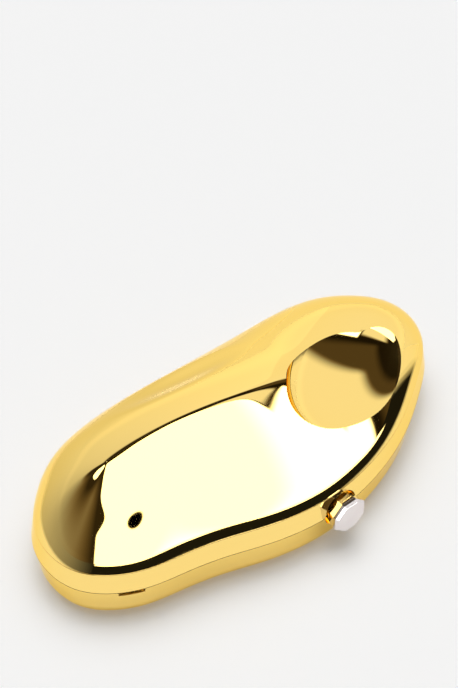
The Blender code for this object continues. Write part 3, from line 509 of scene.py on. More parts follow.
def eggPiece(name, grow, steps, faceFinish):
    middle, longWay, shortWay, lean = bowlAxes()
    radii = bowlRadii(grow)
    shape = bmesh.new()
    bmesh.ops.create_uvsphere(shape, u_segments=steps[0], v_segments=steps[1], radius=1)
    rise = crownForm["rises"][1] + creaseHeight + overrun
    for vert in shape.verts:
        unit = vert.co.copy()
        up = unit.x * longWay.z / radii[0] + unit.y * shortWay.z / radii[1] + unit.z * lean.z / radii[2]
        vert.co = middle + longWay * unit.x * radii[0] + shortWay * unit.y * radii[1]
        vert.co += lean * unit.z * radii[2]
        if up > 0:
            vert.co.z += rise
    mesh = bpy.data.meshes.new(name)
    shape.to_mesh(mesh)
    shape.free()
    return faceOut(dressed(mesh, shellFinishes, faceFinish))


# Shells
scoopCentre = (buttonX, frontY, 0)


def scoopTool(grow, floorGrow, faceFinish):
    form = buttonForm
    slope = (form["mouth"] - form["floor"]) / form["deep"]
    ahead = form["proud"]
    profile = [(-ahead, form["mouth"] + grow + slope * ahead),
               (form["deep"] + floorGrow, form["floor"] + grow)]
    return turned("scoopTool", profile, scoopCentre, meshDetail["scoopSides"], faceFinish=faceFinish)


def stemTool():
    profile = [(0, buttonForm["stemBore"]), (buttonForm["stemReach"], buttonForm["stemBore"])]
    return turned("stemTool", profile, scoopCentre, meshDetail["stemSides"], faceFinish=1)


def notchTool():
    form = hingeForm
    half = form["half"] + form["headLength"] + 2 * gap
    low = (-half, backY - form["frame"] - flare, -form["notch"])
    return boxPiece("notchTool", low, (half, axisY + form["knuckle"] + overrun, form["notch"]))


def slotTool():
    target = np.array(slotForm["shares"]) * halves
    row = fineLoop[np.argmin(np.linalg.norm(fineLoop[:, :2] - target, axis=1))]
    out = np.array((row[2], row[3], 0))
    along = np.array((-row[3], row[2], 0))
    place = np.array((row[0], row[1], 0)) + out * flare
    half = slotForm["length"] / 2
    corners = [place + along * side + out * depth + np.array((0, 0, rise))
               for rise in (-slotForm["height"], rimHalfGap) for depth in (-wall - overrun, overrun)
               for side in (-half, half)]
    return faceOut(meshFrom("slotTool", corners, boxFaces, shellFinishes, 1))


def cornerRings(loop, start, depth, corner, inset, steps, rows):
    # the drafted wall from the start height down, then a round corner into the flat floor
    foot = -(depth - corner)
    heights = [start + (foot - start) * k / rows for k in range(rows + 1)]
    rings = [ring(loop, rimFlare(height) - inset, height) for height in heights]
    for k in range(1, steps + 1):
        turn = math.pi / 2 * k / steps
        sideways = corner * (1 - math.cos(turn))
        rings.append(ring(loop, rimFlare(foot) - inset - sideways, foot - corner * math.sin(turn)))
    return rings[::-1]


def lowerShell():
    detail = meshDetail
    rings = cornerRings(fineLoop, -rimHalfGap, caseForm["lowerDepth"], caseForm["lowerCorner"], 0,
                        detail["cornerSteps"], detail["bandRows"])
    shell = loft("baseShell", rings)
    inner = cornerRings(innerLoop, -rimHalfGap, caseForm["lowerDepth"] - wall, caseForm["lowerCorner"] - wall,
                        wall, *detail["innerCorner"])
    inner.append(ring(innerLoop, rimFlare(0) - wall, overrun))
    cavity = loft("cavityTool", inner, faceFinish=1)
    backing = scoopTool(buttonForm["wall"], buttonForm["floorWall"], 1)
    withTools(cavity, [backing])
    withTools(shell, [cavity, scoopTool(0, 0, 0), stemTool(), notchTool(), slotTool()])
    return smoothBy(shell, detail["sharpAngle"])


def creaseRings(loop, start):
    # the drafted band from a start height up to the crease, which is a little round
    rows, high, soft = meshDetail["bandRows"], creaseHeight, caseForm["creaseRound"]
    heights = [start + (high - 2 * soft - start) * k / rows for k in range(rows + 1)]
    return [ring(loop, rimFlare(height), height) for height in heights + [high - soft]]


def upperShell():
    detail = meshDetail
    grid = crownGrid(fineLoop, detail["crownRings"])
    grid[0] = ring(fineLoop, -caseForm["creaseRound"] / 4, creaseHeight - caseForm["creaseRound"] / 4)
    shell = loft("lidShell", creaseRings(fineLoop, rimHalfGap) + list(grid[:-1]), grid[-1])
    skin = np.array([v.normal for v in shell.data.vertices])
    places = [v.co.copy() for v in shell.data.vertices]
    inner = insetGrid(innerLoop, detail["innerRings"], wall)
    skirt = ring(innerLoop, rimFlare(0) - wall, -overrun)
    cavity = loft("cavityTool", [skirt] + list(inner[:-1]), inner[-1], faceFinish=1)
    backing = scoopTool(buttonForm["wall"], buttonForm["floorWall"], 1)
    withTools(cavity, [eggPiece("bowlBack", wall, detail["hiddenEgg"], 1), backing])
    bowl = eggPiece("bowlTool", 0, bowlForm["steps"], 0)
    withTools(shell, [bowl, cavity, scoopTool(0, 0, 0), stemTool(), notchTool()])
    smoothBy(shell, detail["sharpAngle"])
    crispBowl(shell, places, skin)
    return shell


def crispBowl(shell, places, skin):
    # true surface directions on the crown and in the bowl, so that the mirror finish stays clean at the rim
    tree = kdtree.KDTree(len(places))
    for i, place in enumerate(places):
        tree.insert(place, i)
    tree.balance()
    middle, longWay, shortWay, lean = bowlAxes()
    radii = bowlRadii(0)
    axes = (longWay, shortWay, lean)
    mesh = shell.data
    directions = np.zeros((len(mesh.loops), 3))
    floorHeight = creaseHeight + bowlForm["rimBand"]
    for face in mesh.polygons:
        if face.material_index or face.center.z < floorHeight:
            continue
        away = face.center - middle
        shares = [away.dot(axis) / radius for axis, radius in zip(axes, radii)]
        inBowl = abs(math.hypot(*shares) - 1) < bowlForm["nearShare"] and shares[2] < 0
        for loop in face.loop_indices:
            point = mesh.vertices[mesh.loops[loop].vertex_index].co
            if inBowl:
                away = point - middle
                normal = Vector()
                for axis, radius in zip(axes, radii):
                    normal -= axis * (away.dot(axis) / radius ** 2)
            else:
                normal = Vector()
                for place, i, distance in tree.find_n(point, 3):
                    normal += Vector(skin[i]) / (distance + 1e-7)
            directions[loop] = normal.normalized()
    mesh.normals_split_custom_set([tuple(d) for d in directions])


lidShell = upperShell()
print("upper shell made:", len(lidShell.data.polygons), "faces")
baseShell = lowerShell()
print("lower shell made:", len(baseShell.data.polygons), "faces")
stand(lidShell, "upper_shell", "lid")
stand(baseShell, "lower_shell", "base")

# Finishes of the frames, hinge, clasp works and lining
lookNames = ("colour", "second", "roughness", "grain", "stretch", "bump")
grainedLooks = {name: dict(zip(lookNames, row)) for name, *row in (
    ("satinGold", (0.95, 0.70, 0.26, 1), (0.88, 0.62, 0.20, 1), (0.17, 0.30), 900, (1, 6, 6), 0.000012),
    ("hingeGold", (0.97, 0.72, 0.26, 1), (0.90, 0.64, 0.21, 1), (0.06, 0.16), 700, (1, 8, 8), 0.000006),
    ("roseChrome", (0.76, 0.71, 0.70, 1), (0.72, 0.66, 0.65, 1), (0.07, 0.15), 800, (1, 6, 1), 0.000004),
    ("worksSteel", (0.66, 0.66, 0.67, 1), (0.55, 0.55, 0.57, 1), (0.24, 0.42), 1100, (1, 7, 1), 0.000015),
    ("worksBrass", (0.80, 0.61, 0.28, 1), (0.70, 0.50, 0.20, 1), (0.18, 0.34), 1300, (4, 1, 4), 0.00001),
    ("pressedBoard", (0.74, 0.66, 0.54, 1), (0.60, 0.52, 0.41, 1), (0.82, 0.95), 420, (1, 3, 1), 0.00005))}
clothLook = {
    "colour": (0.86, 0.78, 0.65, 1),
    "second": (0.79, 0.70, 0.56, 1),
    "threads": 900,
    "waver": 0.4,
    "threadHeight": 0.00004,
    "cloudSize": 28,
    "roughness": (0.34, 0.52),
    "sheen": 0.35,
    "sheenRoughness": 0.30,
}
grainLook = {"cloudShare": 12, "tonePlaces": (0.3, 0.65), "details": (4, 3)}


def grainNodes(finish, look, size, stretch):
    # two tones and a changing roughness from one stretched noise
    place = addNode(finish, "TexCoord").outputs["Object"]
    scaled = addNode(finish, "Mapping", Scale=stretch)
    join(finish, place, scaled.inputs["Vector"])
    fine, coarse = grainLook["details"]
    grain = noiseNode(finish, scaled.outputs["Vector"], size, fine)
    cloud = noiseNode(finish, place, size / grainLook["cloudShare"], coarse)
    tones = addNode(finish, "ValToRGB")
    for stop, position, tone in zip(tones.color_ramp.elements, grainLook["tonePlaces"], ("second", "colour")):
        stop.position = position
        stop.color = look[tone]
    join(finish, cloud, tones.inputs["Fac"])
    join(finish, tones.outputs["Color"], shaderOf(finish).inputs["Base Color"])
    dullTo(finish, grain, look)
    return place, grain


def bumpNode(finish, source, distance, strength):
    bump = addNode(finish, "Bump", Strength=strength, Distance=distance)
    join(finish, source, bump.inputs["Height"])
    join(finish, bump.outputs["Normal"], shaderOf(finish).inputs["Normal"])


def grainedFinish(name, metallic=1.0, strength=0.5):
    look = grainedLooks[name]
    finish = newFinish(name, look["colour"], metallic, look["roughness"][0])
    bumpNode(finish, grainNodes(finish, look, look["grain"], look["stretch"])[1], look["bump"], strength)
    return finish


def satinCloth():
    # satin: fine crossing threads, a soft sheen and faint clouds of tone
    look = clothLook
    finish = newFinish("liningSatin", look["colour"], 0.0, look["roughness"][0],
                       **{"Sheen Weight": look["sheen"], "Sheen Roughness": look["sheenRoughness"]})
    place = grainNodes(finish, look, look["cloudSize"] * grainLook["cloudShare"], (1, 1, 1))[0]
    waves = []
    for turn in (0, math.pi / 2):
        laid = fed(finish, addNode(finish, "Mapping", Rotation=(0, 0, turn)), [place])
        wave = addNode(finish, "TexWave", Scale=look["threads"], Distortion=look["waver"], Detail=1)
        wave.bands_direction = "DIAGONAL"
        fed(finish, wave, [laid])
        waves.append(wave.outputs["Fac"])
    bumpNode(finish, mathNode(finish, "MAXIMUM", *waves), look["threadHeight"], 0.6)
    return finish


*metals, boardName = grainedLooks
satinGold, hingeGold, roseChrome, worksSteel, worksBrass = map(grainedFinish, metals)
liningSatin = satinCloth()
slotFinishes = {"polished_gold": hingeGold, "satin_gold": satinGold, "rose_chrome": roseChrome,
                "works_steel": worksSteel, "works_brass": worksBrass, "lining_satin": liningSatin,
                "board": grainedFinish(boardName, 0.0, 0.7)}
for part in frame["record"]["subparts"]:
    coat(frame["nodes"][part["node"]].data, slotFinishes[part["material_slot"]])
print("finishes made:", len(slotFinishes))


# Lining of the lower shell: a stiff tray under satin, with a rolled hem and a padded floor
trayForm = {
    "inset": 0.0042,
    "thickness": 0.0010,
    "low": 0.0010,
    "corner": 0.0070,
    "hem": 0.00065,
    "hemSteps": 10,
    "cornerSteps": 12,
    "wallRows": 4,
    "seamWidth": 0.0012,
    "seamDip": 0.0004,
    "padRise": 0.0007,
    "padReach": 0.012,
    "padSteps": 10,
    "loopHalf": 120,
    "hemSweep": math.radians(225),
}
coverForm = {
    "half": 0.0102,
    "back": 0.0218,
    "front": 0.0080,
    "thickness": 0.0012,
    "high": 0.0030,
    "round": 0.00045,
    "roundSteps": 4,
}
boardForm = {"thickness": 0.0010}
trayLoop = creaseLoop(trayForm["loopHalf"])
floorTop = -(caseForm["lowerDepth"] - wall - 2 * gap - boardForm["thickness"]
             - trayForm["thickness"])


def shrunk(rim, share, height):
    # a ring drawn in towards its middle, at one height
    middle = rim[:, :2].mean(0)
    flat = middle + (rim[:, :2] - middle) * share
    return np.column_stack((flat, np.full(len(rim), height)))


def trayRings():
    form, loop = trayForm, trayLoop
    thick, inset, corner = form["thickness"], form["inset"], form["corner"]
    top = -form["low"] - form["hem"]
    rings = cornerRings(loop, top, -floorTop + thick, corner + thick, inset, form["cornerSteps"],
                        form["wallRows"])
    middle = inset + form["hem"]
    for k in range(1, form["hemSteps"]):
        turn = form["hemSweep"] * k / form["hemSteps"]
        rings.append(ring(loop, rimFlare(0) - middle + form["hem"] * math.cos(turn),
                          top + form["hem"] * math.sin(turn)))
    inner = cornerRings(loop, top - form["hem"], -floorTop, corner, inset + thick, form["cornerSteps"],
                        form["wallRows"])
    rings += inner[::-1]
    rim = inner[0]
    width = np.ptp(rim[:, 0]) / 2
    for reach, height in ((0.5, -form["seamDip"]), (1, 0)):
        rings.append(shrunk(rim, 1 - reach * form["seamWidth"] / width, floorTop + height))
    for k in range(1, form["padSteps"] + 1):
        share = k / form["padSteps"]
        reach = form["seamWidth"] + form["padReach"] * share
        height = floorTop + form["padRise"] * math.sin(math.pi / 2 * share)
        rings.append(shrunk(rim, 1 - reach / width, height))
    return rings


def clothTray():
    tray = loft("satinTray", trayRings(), None, [liningSatin])
    front = buttonBox("frontTool", coverForm["half"] + gap, 0, coverForm["back"] + gap,
                      floorTop + rimHalfGap, overrun)
    withTools(tray, [front])
    return smoothBy(tray, 50)


def clothCover():
    form = coverForm
    low = floorTop + gap
    cover = buttonBox("satinCover", form["half"], form["front"], form["back"], low, form["high"])
    coat(cover.data, liningSatin)
    hollow = buttonBox("hollowTool", form["half"] - form["thickness"], form["front"] - overrun,
                       form["back"] - form["thickness"], low - overrun, form["high"] + overrun)
    withTools(cover, [hollow])
    softEdges(cover, form["round"], form["roundSteps"])
    return cover


liningTray = clothTray()
stand(liningTray, "base_lining", "base")
stand(clothCover(), "clasp_cover", "base")
print("lower lining made")

# Lining of the lid, with a piped edge
hoodForm = {
    "thickness": 0.0008,
    "low": 0.0083,
    "clearHigh": 0.0120,
    "clearBack": 0.0168,
    "clearSide": 0.0012,
    "rings": 40,
    "loopHalf": 120,
    "pipe": 0.00055,
    "pipeSides": 12,
    "eggSteps": (96, 60),
}
hoodLoop = creaseLoop(hoodForm["loopHalf"])
clearHalf = buttonForm["mouth"] + buttonForm["wall"] + hoodForm["clearSide"]


def hoodBody(name, inset, start):
    grid = insetGrid(hoodLoop, hoodForm["rings"], inset)
    skirt = ring(hoodLoop, rimFlare(max(start, 0)) - inset, start)
    return loft(name, [skirt] + list(grid[:-1]), grid[-1], [liningSatin])


def clothHood():
    form = hoodForm
    outside = wall + gap
    inside = outside + form["thickness"]
    hood = hoodBody("satinHood", outside, form["low"])
    hollow = hoodBody("hollowTool", inside, form["low"] - overrun)
    withTools(hollow, [eggPiece("bowlInside", inside, form["eggSteps"], 0)])
    bowlOutside = eggPiece("bowlOutside", outside, form["eggSteps"], 0)
    clear = buttonBox("clearTool", clearHalf, -overrun, form["clearBack"], 0, form["clearHigh"])
    withTools(hood, [bowlOutside, hollow, clear])
    return smoothBy(hood, 40)


def pipedEdge():
    # a satin-covered cord along the lining's lower edge, open where the clasp sits
    form = hoodForm
    inset = wall + gap + form["thickness"] + form["pipe"] / 2
    height = form["low"] + form["pipe"]
    half = clearHalf + form["pipe"]
    near = [i for i, row in enumerate(hoodLoop) if abs(row[0] - buttonX) < half and row[1] < 0]
    order = [(max(near) + 1 + k) % len(hoodLoop) for k in range(len(hoodLoop) - len(near))]
    turns = math.tau * np.arange(form["pipeSides"]) / form["pipeSides"]
    away = rimFlare(height) - inset + form["pipe"] * np.cos(turns)
    rise = height + form["pipe"] * np.sin(turns)
    rings = [np.column_stack((x + away * outX, y + away * outY, rise))
             for x, y, outX, outY in hoodLoop[order]]
    return smoothBy(faceOut(loft("hoodPiping", rings, None, [liningSatin])), 60)


stand(clothHood(), "lid_lining", "lid")
piping = pipedEdge()
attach(piping, "lid")
print("lid lining made")

# Hinge: round knuckles on two leaves, a headed pin and domed rivets
leafForm = {
    "thickness": 0.001,
    "start": 0.001,
    "reach": 0.0065,
    "webRise": 0.0004,
    "webThickness": 0.0011,
    "knuckles": 5,
    "knuckleRound": 0.00018,
    "bore": 0.00105,
    "pin": 0.00075,
    "pinHead": 0.0015,
    "sides": 48,
    "rivetHole": 0.0012,
    "rivetShank": 0.0009,
    "rivetHead": 0.0016,
    "rivetHeight": 0.0005,
    "rivetShares": (-0.8, 0.0, 0.8),
}
fastenerForm = {
    "shank": 0.0007,
    "head": 0.0013,
    "height": 0.0006,
    "slotWidth": 0.00035,
    "slotDeep": 0.0003,
    "sides": 40,
    "domeSteps": 6,
    "domeShare": 0.65,
}


def leafFace(height, depth):
    return backY + rimFlare(height) - wall - 2 * gap - hingeForm["frame"] - depth


def domeShares():
    # cosine and sine along a quarter round, from the top of a head to its rim
    steps = fastenerForm["domeSteps"]
    turns = [math.pi / 2 * k / steps for k in range(1, steps + 1)]
    return [(math.cos(turn), math.sin(turn)) for turn in turns]


def hingeLeaf(name, side):
    form = leafForm
    half, length = hingeForm["half"], 2 * hingeForm["half"]
    near, far = side * form["start"], side * form["reach"]
    outline = [(leafFace(near, form["thickness"]), near), (leafFace(near, 0), near),
               (leafFace(far, 0), far), (leafFace(far, form["thickness"]), far)]
    rings = [[(x, y, z) for y, z in outline] for x in (-half, half)]
    leaf = faceOut(loft(name, rings, None, [satinGold]))
    pitch = length / form["knuckles"]
    rises = sorted((side * form["webRise"], side * (form["webRise"] + form["webThickness"])))
    soft, radius = form["knuckleRound"], hingeForm["knuckle"]
    parts = []
    for k in range(0 if side < 0 else 1, form["knuckles"], 2):
        left, right = -half + k * pitch + rimHalfGap, -half + (k + 1) * pitch - rimHalfGap
        parts.append(boxPiece("web", (left, leafFace(near, form["thickness"] / 2), rises[0]),
                              (right, axisY, rises[1]), 0))
        wide = right - left
        profile = [(0, radius - soft), (soft, radius), (wide - soft, radius), (wide, radius - soft)]
        parts.append(turned("knuckle", profile, (left, axisY, 0), form["sides"], axis=0))
    withTools(leaf, parts, "UNION")
    profile = [(-overrun, form["bore"]), (length + overrun, form["bore"])]
    holes = [turned("boreTool", profile, (-half, axisY, 0), form["sides"], axis=0)]
    reach = form["thickness"] + gap + hingeForm["frame"] + overrun
    profile = [(-overrun, form["rivetHole"]), (reach, form["rivetHole"])]
    holes += [turned("rivetTool", profile, centre, form["sides"]) for centre in rivetPlaces(side)]
    withTools(leaf, holes)
    coat(leaf.data, satinGold)
    leaf.data.polygons.foreach_set("material_index", [0] * len(leaf.data.polygons))
    return smoothBy(leaf, 30)


def rivetPlaces(side):
    height = side * (leafForm["start"] + leafForm["reach"]) / 2
    return [(share * hingeForm["half"], leafFace(height, leafForm["thickness"]), height)
            for share in leafForm["rivetShares"]]


def hingePin():
    form = leafForm
    first, last = -gap, 2 * hingeForm["half"] + gap
    dome = [(hingeForm["headLength"] * cosine, form["pinHead"] * sine) for cosine, sine in domeShares()]
    profile = [(first - along, radius) for along, radius in dome]
    profile += [(first, form["pin"]), (last, form["pin"])]
    profile += [(last + along, radius) for along, radius in reversed(dome)]
    pin = turned("hingeRod", profile, (-hingeForm["half"], axisY, 0), form["sides"], [hingeGold], axis=0)
    return smoothBy(pin, 35)


def headProfile(rim, height, head, shank, end):
    # a domed head from its top to its rim, then the shank
    share = fastenerForm["domeShare"]
    rows = [(rim + height * (1 - share + share * cosine), head * sine) for cosine, sine in domeShares()]
    return rows + [(rim, head), (rim, shank), (end, shank)]


def hingeRivet(name, centre):
    form = leafForm
    profile = headProfile(-gap, -form["rivetHeight"], form["rivetHead"], form["rivetShank"],
                          form["thickness"] + hingeForm["frame"])
    return smoothBy(turned(name, profile, centre, fastenerForm["sides"], [hingeGold]), 35)


for side, body, word in ((-1, "base", "lower"), (1, "lid", "upper")):
    stand(hingeLeaf(word + "Leaf", side), "hinge_leaf_" + word, body)
    for k, centre in enumerate(rivetPlaces(side)):
        rivet = hingeRivet("%sRivet%d" % (word, k + 1), centre)
        stand(rivet, "hinge_rivet_%s_%d" % (word, k + 1), body)
stand(hingePin(), "hinge_pin", "base")
print("hinge made")


# Screws and rivets of the clasp works, with slotted and domed heads
def worksFastener(name, node, finish, slotted):
    # the head points to +Y, away from the scoop
    form = fastenerForm
    low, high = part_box(node)
    middle = (low + high) / 2 - datum
    top = high.y - datum.y
    profile = headProfile(-form["height"], form["height"], form["head"], form["shank"], low.y - high.y)
    piece = turned(name, profile, (middle.x, top, middle.z), form["sides"], [finish])
    if slotted:
        wide, deep = form["slotWidth"] / 2, form["slotDeep"]
        tool = boxPiece("slotTool", (middle.x - form["head"] - deep, top - deep, middle.z - wide),
                        (middle.x + form["head"] + deep, top + deep, middle.z + wide), 0)
        withTools(piece, [tool])
    return smoothBy(piece, 35)


for stem, body, finish, slotName, slotted in (
        ("clasp_screw", "base", worksSteel, "works_steel", True),
        ("catch_screw", "lid", worksSteel, "works_steel", True),
        ("latch_rivet", "base", worksBrass, "works_brass", False)):
    for k in (1, 2):
        node = "%s_%d" % (stem, k)
        piece = worksFastener(stem.replace("_", "") + "Head%d" % k, node, finish, slotted)
        stand(piece, node, body)


# Button spring: a coil of round wire
springForm = {"radius": 0.0023, "wire": 0.00025, "turns": 4, "turnSteps": 40, "sides": 14}
springLow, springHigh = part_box("button_spring")


def coilSpring():
    form = springForm
    start = springLow.y - datum.y + form["wire"]
    end = springHigh.y - datum.y - form["wire"]
    steps = form["turns"] * form["turnSteps"]
    route = []
    for k in range(steps + 1):
        turn = math.tau * k / form["turnSteps"]
        route.append(Vector((buttonX + form["radius"] * math.cos(turn),
                             start + (end - start) * k / steps, form["radius"] * math.sin(turn))))
    turns = [math.tau * k / form["sides"] for k in range(form["sides"])]
    rings, side = [], None
    for i, point in enumerate(route):
        ahead = (route[min(i + 1, steps)] - route[max(i - 1, 0)]).normalized()
        side = ahead.orthogonal() if side is None else side - ahead * side.dot(ahead)
        side.normalize()
        up = ahead.cross(side)
        rings.append([point + form["wire"] * (side * math.cos(turn) + up * math.sin(turn)) for turn in turns])
    return smoothBy(faceOut(loft("coilSpring", rings, None, [worksSteel])), 50)


spring = coilSpring()
stand(spring, "button_spring", "base")
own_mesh(spring)
print("clasp works made")


# Push button
def buttonHead():
    form = buttonForm
    corner = 1 / math.cos(math.pi / form["facets"])
    front = -form["proud"]
    profile = [(front, form["face"]), (front + form["bevel"], form["girdle"]),
               (front + 2 * form["bevel"], form["girdle"]), (front + form["length"], form["back"])]
    profile = [(along, radius * corner) for along, radius in profile]
    head = turned("pushButton", profile, scoopCentre, form["facets"], [roseChrome],
                  twist=math.pi / form["facets"])
    softEdges(head, form["edgeRound"], form["edgeSteps"]).angle_limit = math.radians(10)
    return head


stand(buttonHead(), "button_head", "button")
print("push button made")

# Stage: floor, cards seen only in reflections, studio surroundings and camera
stageLook = {
    "floorColour": (0.90, 0.90, 0.90, 1),
    "floorSize": 4.0,
    "skyLean": (-0.12, -0.03, 0.992),
    "skyLevels": (0.15, 5.6),
    "skyPower": 14,
    "bounceShare": 0.15,
    "backdrop": 0.896,
    "floorLifts": (0.16, 0.25),
    "roomLevel": 1.0,
    "horizonLift": 0.08,
    "panelLevels": (3.2, 4.6),
    "panelAngles": (-14, 92),
    "panelTops": (50, 80, 37),
    "panelBends": (15, 60, 74),
    "slant": (0.6, 34, 48),
    "dent": (34, 10, 12),
    "lensPlace": (30, 29),
    "lensSize": (6.8, 2.7),
    "lensEdge": (0.8, 1.4),
    "dimLevel": 0.03,
    "horizonBand": (3, 7),
    "ceilingHeights": (36, 52),
    "roomHeights": (41, 48),
    "brownAngles": (95, 102),
    "brownHeights": (52, 60),
    "paleAngles": (60, 66, 84, 90),
    "paleHeights": (62, 72),
    "cardReach": (0.058, 0.078, 0.46, 3.0),
    "cardAngles": (-165, 122),
    "wallAngles": (104, 111),
    "wallLean": 0.0083,
    "darkTint": (1.0, 0.72, 0.40, 1),
    "tintLevels": (0.05, 0.4),
    "cardHeight": 0.0005,
    "cardHalf": 180,
    "wallLevel": 0.08,
    "blackLevel": 0.012,
}
cameraLook = {
    "place": (-0.32497, -0.37702, 0.5896),
    "direction": (0.448, 0.539, -0.713),
    "focalPixels": 1824,
    "imageHeight": 688,
}
cameraTurn = math.atan2(cameraLook["place"][1], cameraLook["place"][0])


def makeFloor():
    half = stageLook["floorSize"] / 2
    colour = stageLook["floorColour"]
    finish = newFinish("floorPaper", colour, 0.0, 1.0, **{"Specular IOR Level": 0, "Emission Color": colour})
    # a little light of its own, so that the paper looks white to the camera and in the metal
    rays = addNode(finish, "LightPath").outputs
    seen, mirrored = stageLook["floorLifts"]
    lift = mathNode(finish, "MULTIPLY", rays["Is Camera Ray"], seen)
    for kind in ("Is Glossy Ray", "Is Transmission Ray"):
        lift = mathNode(finish, "MULTIPLY_ADD", rays[kind], mirrored, lift)
    join(finish, lift, shaderOf(finish).inputs["Emission Strength"])
    mesh = bpy.data.meshes.new("floorSheet")
    corners = [(-half, -half, 0), (half, -half, 0), (half, half, 0), (-half, half, 0)]
    mesh.from_pydata(corners, [], [(0, 1, 2, 3)])
    mesh.materials.append(finish)
    addObject("floorSheet", mesh)


def cardGlow(angle, outer):
    # level of the card by its direction from the case, in degrees from the camera
    left, right = stageLook["panelAngles"]
    if outer and left < angle < right:
        return stageLook["panelLevels"][0]
    low, high = stageLook["cardAngles"]
    start, end = stageLook["wallAngles"]
    away = max(0, (left - angle) / (left - low)) + smoothStep((angle - start) / (end - start))
    return stageLook["blackLevel"] + stageLook["roomLevel"] * away


def makeCard():
    # a ring on the floor, dark near the case and bright beyond, seen only in reflections
    low, high = stageLook["cardAngles"]
    loop = creaseLoop(stageLook["cardHalf"])
    angles = np.degrees(np.arctan2(loop[:, 3], loop[:, 2]) - cameraTurn)
    angles = (angles + 180) % 360 - 180
    inside = sorted((angle, row) for angle, row in zip(angles, map(tuple, loop)) if low < angle < high)
    verts, faces, glow, cover = [], [], [], []
    for zone, reaches in enumerate(zip(stageLook["cardReach"], stageLook["cardReach"][1:])):
        start = len(verts)
        for angle, row in inside:
            for side, reach in enumerate(reaches):
                verts.append((row[0] + datum.x + reach * row[2], row[1] + datum.y + reach * row[3],
                              stageLook["cardHeight"]))
                glow.append(cardGlow(angle, zone == 2))
                cover.append(1.0 if zone or side else 0.0)
        for k in range(start, len(verts) - 2, 2):
            faces.append((k, k + 1, k + 3, k + 2))
    mesh = bpy.data.meshes.new("floorCard")
    mesh.from_pydata(verts, [], faces)
    for name, values in (("glow", glow), ("cover", cover)):
        mesh.attributes.new(name, "FLOAT", "POINT").data.foreach_set("value", values)
    finish = bpy.data.materials.new("cardGlow")
    finish.use_nodes = True
    finish.node_tree.nodes.clear()
    level, share = (addNode(finish, "Attribute", attribute_name=name).outputs["Fac"]
                    for name in ("glow", "cover"))
    light = fed(finish, addNode(finish, "Emission"), [level], 1)
    clear = addNode(finish, "BsdfTransparent").outputs[0]
    mixed = fed(finish, addNode(finish, "MixShader"), (share, clear, light))
    join(finish, mixed, addNode(finish, "OutputMaterial").inputs["Surface"])
    mesh.materials.append(finish)
    card = addObject("floorCard", mesh)
    card.visible_camera = card.visible_diffuse = card.visible_shadow = card.visible_transmission = False


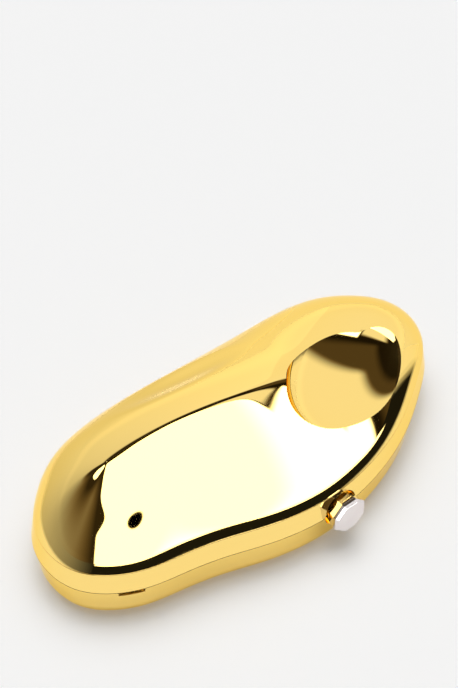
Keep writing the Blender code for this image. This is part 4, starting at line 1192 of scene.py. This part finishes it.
def makeWorld():
    look = stageLook
    world = bpy.data.worlds.new("studio")
    scene.world = world
    world.use_nodes = True
    world.node_tree.nodes.clear()

    def calc(operation, *values):
        return mathNode(world, operation, *values)

    def times(a, b):
        return calc("MULTIPLY", a, b)

    def minus(a, b):
        return calc("SUBTRACT", a, b)

    def ramp(*values):
        # from a value, its two ends and the two results there
        return fed(world, addNode(world, "MapRange", interpolation_type="SMOOTHSTEP"), values)

    def blend(share, a, b):
        node = addNode(world, "Mix", data_type="FLOAT")
        fed(world, node, [share])
        return fed(world, node, (a, b), 2)

    turn = addNode(world, "VectorRotate", rotation_type="Z_AXIS", Angle=-cameraTurn)
    join(world, addNode(world, "TexCoord").outputs["Generated"], turn.inputs["Vector"])
    parts = addNode(world, "SeparateXYZ")
    join(world, turn.outputs["Vector"], parts.inputs[0])
    around = times(calc("ARCTAN2", parts.outputs[1], parts.outputs[0]), math.degrees(1))
    up = times(calc("ARCSINE", parts.outputs[2]), math.degrees(1))

    low, high = look["panelAngles"]
    dim, room = look["dimLevel"], look["roomLevel"]
    # left side: olive light that grows towards the back
    left = calc("DIVIDE", minus(low, around), low - look["cardAngles"][0])
    left = calc("MAXIMUM", times(left, room), dim)
    # a paler horizon and a dark ceiling
    middle, reach = look["horizonBand"]
    horizon = ramp(calc("ABSOLUTE", minus(up, middle)), 0, reach, 1 + look["horizonLift"], 1)
    left = blend(ramp(up, *look["ceilingHeights"], 0, 1), times(left, horizon), dim)
    # right side: black by the panel and overhead, a brown wall, then the pale room
    lean = times(calc("POWER", calc("MAXIMUM", up, 0), 2), look["wallLean"])
    pale = times(ramp(minus(around, lean), *look["wallAngles"], 0, 1), ramp(up, *look["roomHeights"], 1, 0))
    brown = times(ramp(around, *look["brownAngles"], 0, 1), ramp(up, *look["brownHeights"], 1, 0))
    right = blend(brown, look["blackLevel"], look["wallLevel"])
    right = blend(pale, right, times(room, horizon))
    level = blend(calc("GREATER_THAN", around, 0), left, right)
    # top edge of the bright front panel, with a pale wall above its right corner
    tops, bends, sides = look["panelTops"], look["panelBends"], look["paleAngles"]
    edge = calc("MINIMUM", ramp(around, low, bends[0], tops[0], tops[1]),
                ramp(around, bends[1], bends[2], tops[1], tops[2]))
    above = minus(up, edge)
    paleWall = times(ramp(around, *sides[:2], 0, 1), ramp(around, *sides[2:], 1, 0))
    paleWall = times(paleWall, times(ramp(up, *look["paleHeights"], 1, 0), ramp(above, 1, 3, 0, 1)))
    level = blend(paleWall, level, room)
    # the panel, brighter at its right
    height, reach, deep = look["dent"]
    start = minus(around, ramp(calc("ABSOLUTE", minus(up, height)), 0, reach, deep, 0))
    panel = times(ramp(start, low - 1, low + 1, 0, 1), ramp(around, high - 1, high + 1, 1, 0))
    panel = times(panel, ramp(above, -1, 1, 1, 0))
    share, first, last = look["slant"]
    level = blend(panel, level, ramp(minus(around, times(up, share)), first, last, *look["panelLevels"]))
    # the photographer's lens in the panel
    wide, tall = (calc("DIVIDE", minus(value, middle), size)
                  for value, middle, size in zip((around, up), look["lensPlace"], look["lensSize"]))
    away = calc("ADD", times(wide, wide), times(tall, tall))
    level = blend(ramp(away, *look["lensEdge"], 1, 0), level, 0.0)
    # everything that isn't a mirror sees a plain sky, strongest overhead
    x, y, z = (times(part, share) for part, share in zip(parts.outputs, look["skyLean"]))
    overhead = calc("POWER", calc("MAXIMUM", calc("ADD", calc("ADD", x, y), z), 0), look["skyPower"])
    plain = calc("ADD", look["skyLevels"][0], times(overhead, look["skyLevels"][1]))
    rays = addNode(world, "LightPath").outputs
    plain = blend(rays["Is Glossy Ray"], plain, times(plain, look["bounceShare"]))
    mirror = times(rays["Is Glossy Ray"], calc("LESS_THAN", rays["Diffuse Depth"], 0.5))
    level = blend(mirror, plain, level)
    level = blend(rays["Is Camera Ray"], level, look["backdrop"])
    # the dark parts of the room are brown
    tint = addNode(world, "Mix", data_type="RGBA")
    fed(world, tint, [times(mirror, ramp(level, *look["tintLevels"], 1, 0))])
    tint.inputs[6].default_value = (1, 1, 1, 1)
    tint.inputs[7].default_value = look["darkTint"]
    shade = addNode(world, "Background")
    join(world, tint.outputs[2], shade.inputs["Color"])
    join(world, level, shade.inputs["Strength"])
    join(world, shade.outputs[0], addNode(world, "OutputWorld").inputs[0])


def makeCamera():
    eye = bpy.data.cameras.new("photoCamera")
    eye.sensor_fit = "VERTICAL"
    eye.sensor_height = 36
    eye.lens = cameraLook["focalPixels"] / cameraLook["imageHeight"] * eye.sensor_height
    eye.clip_start = 0.01
    camera = addObject("photoCamera", eye)
    camera.location = cameraLook["place"]
    camera.rotation_euler = Vector(cameraLook["direction"]).to_track_quat("-Z", "Y").to_euler()
    scene.camera = camera


makeFloor()
makeCard()
makeWorld()
makeCamera()
scene.view_settings.view_transform = "Standard"
print("stage set")
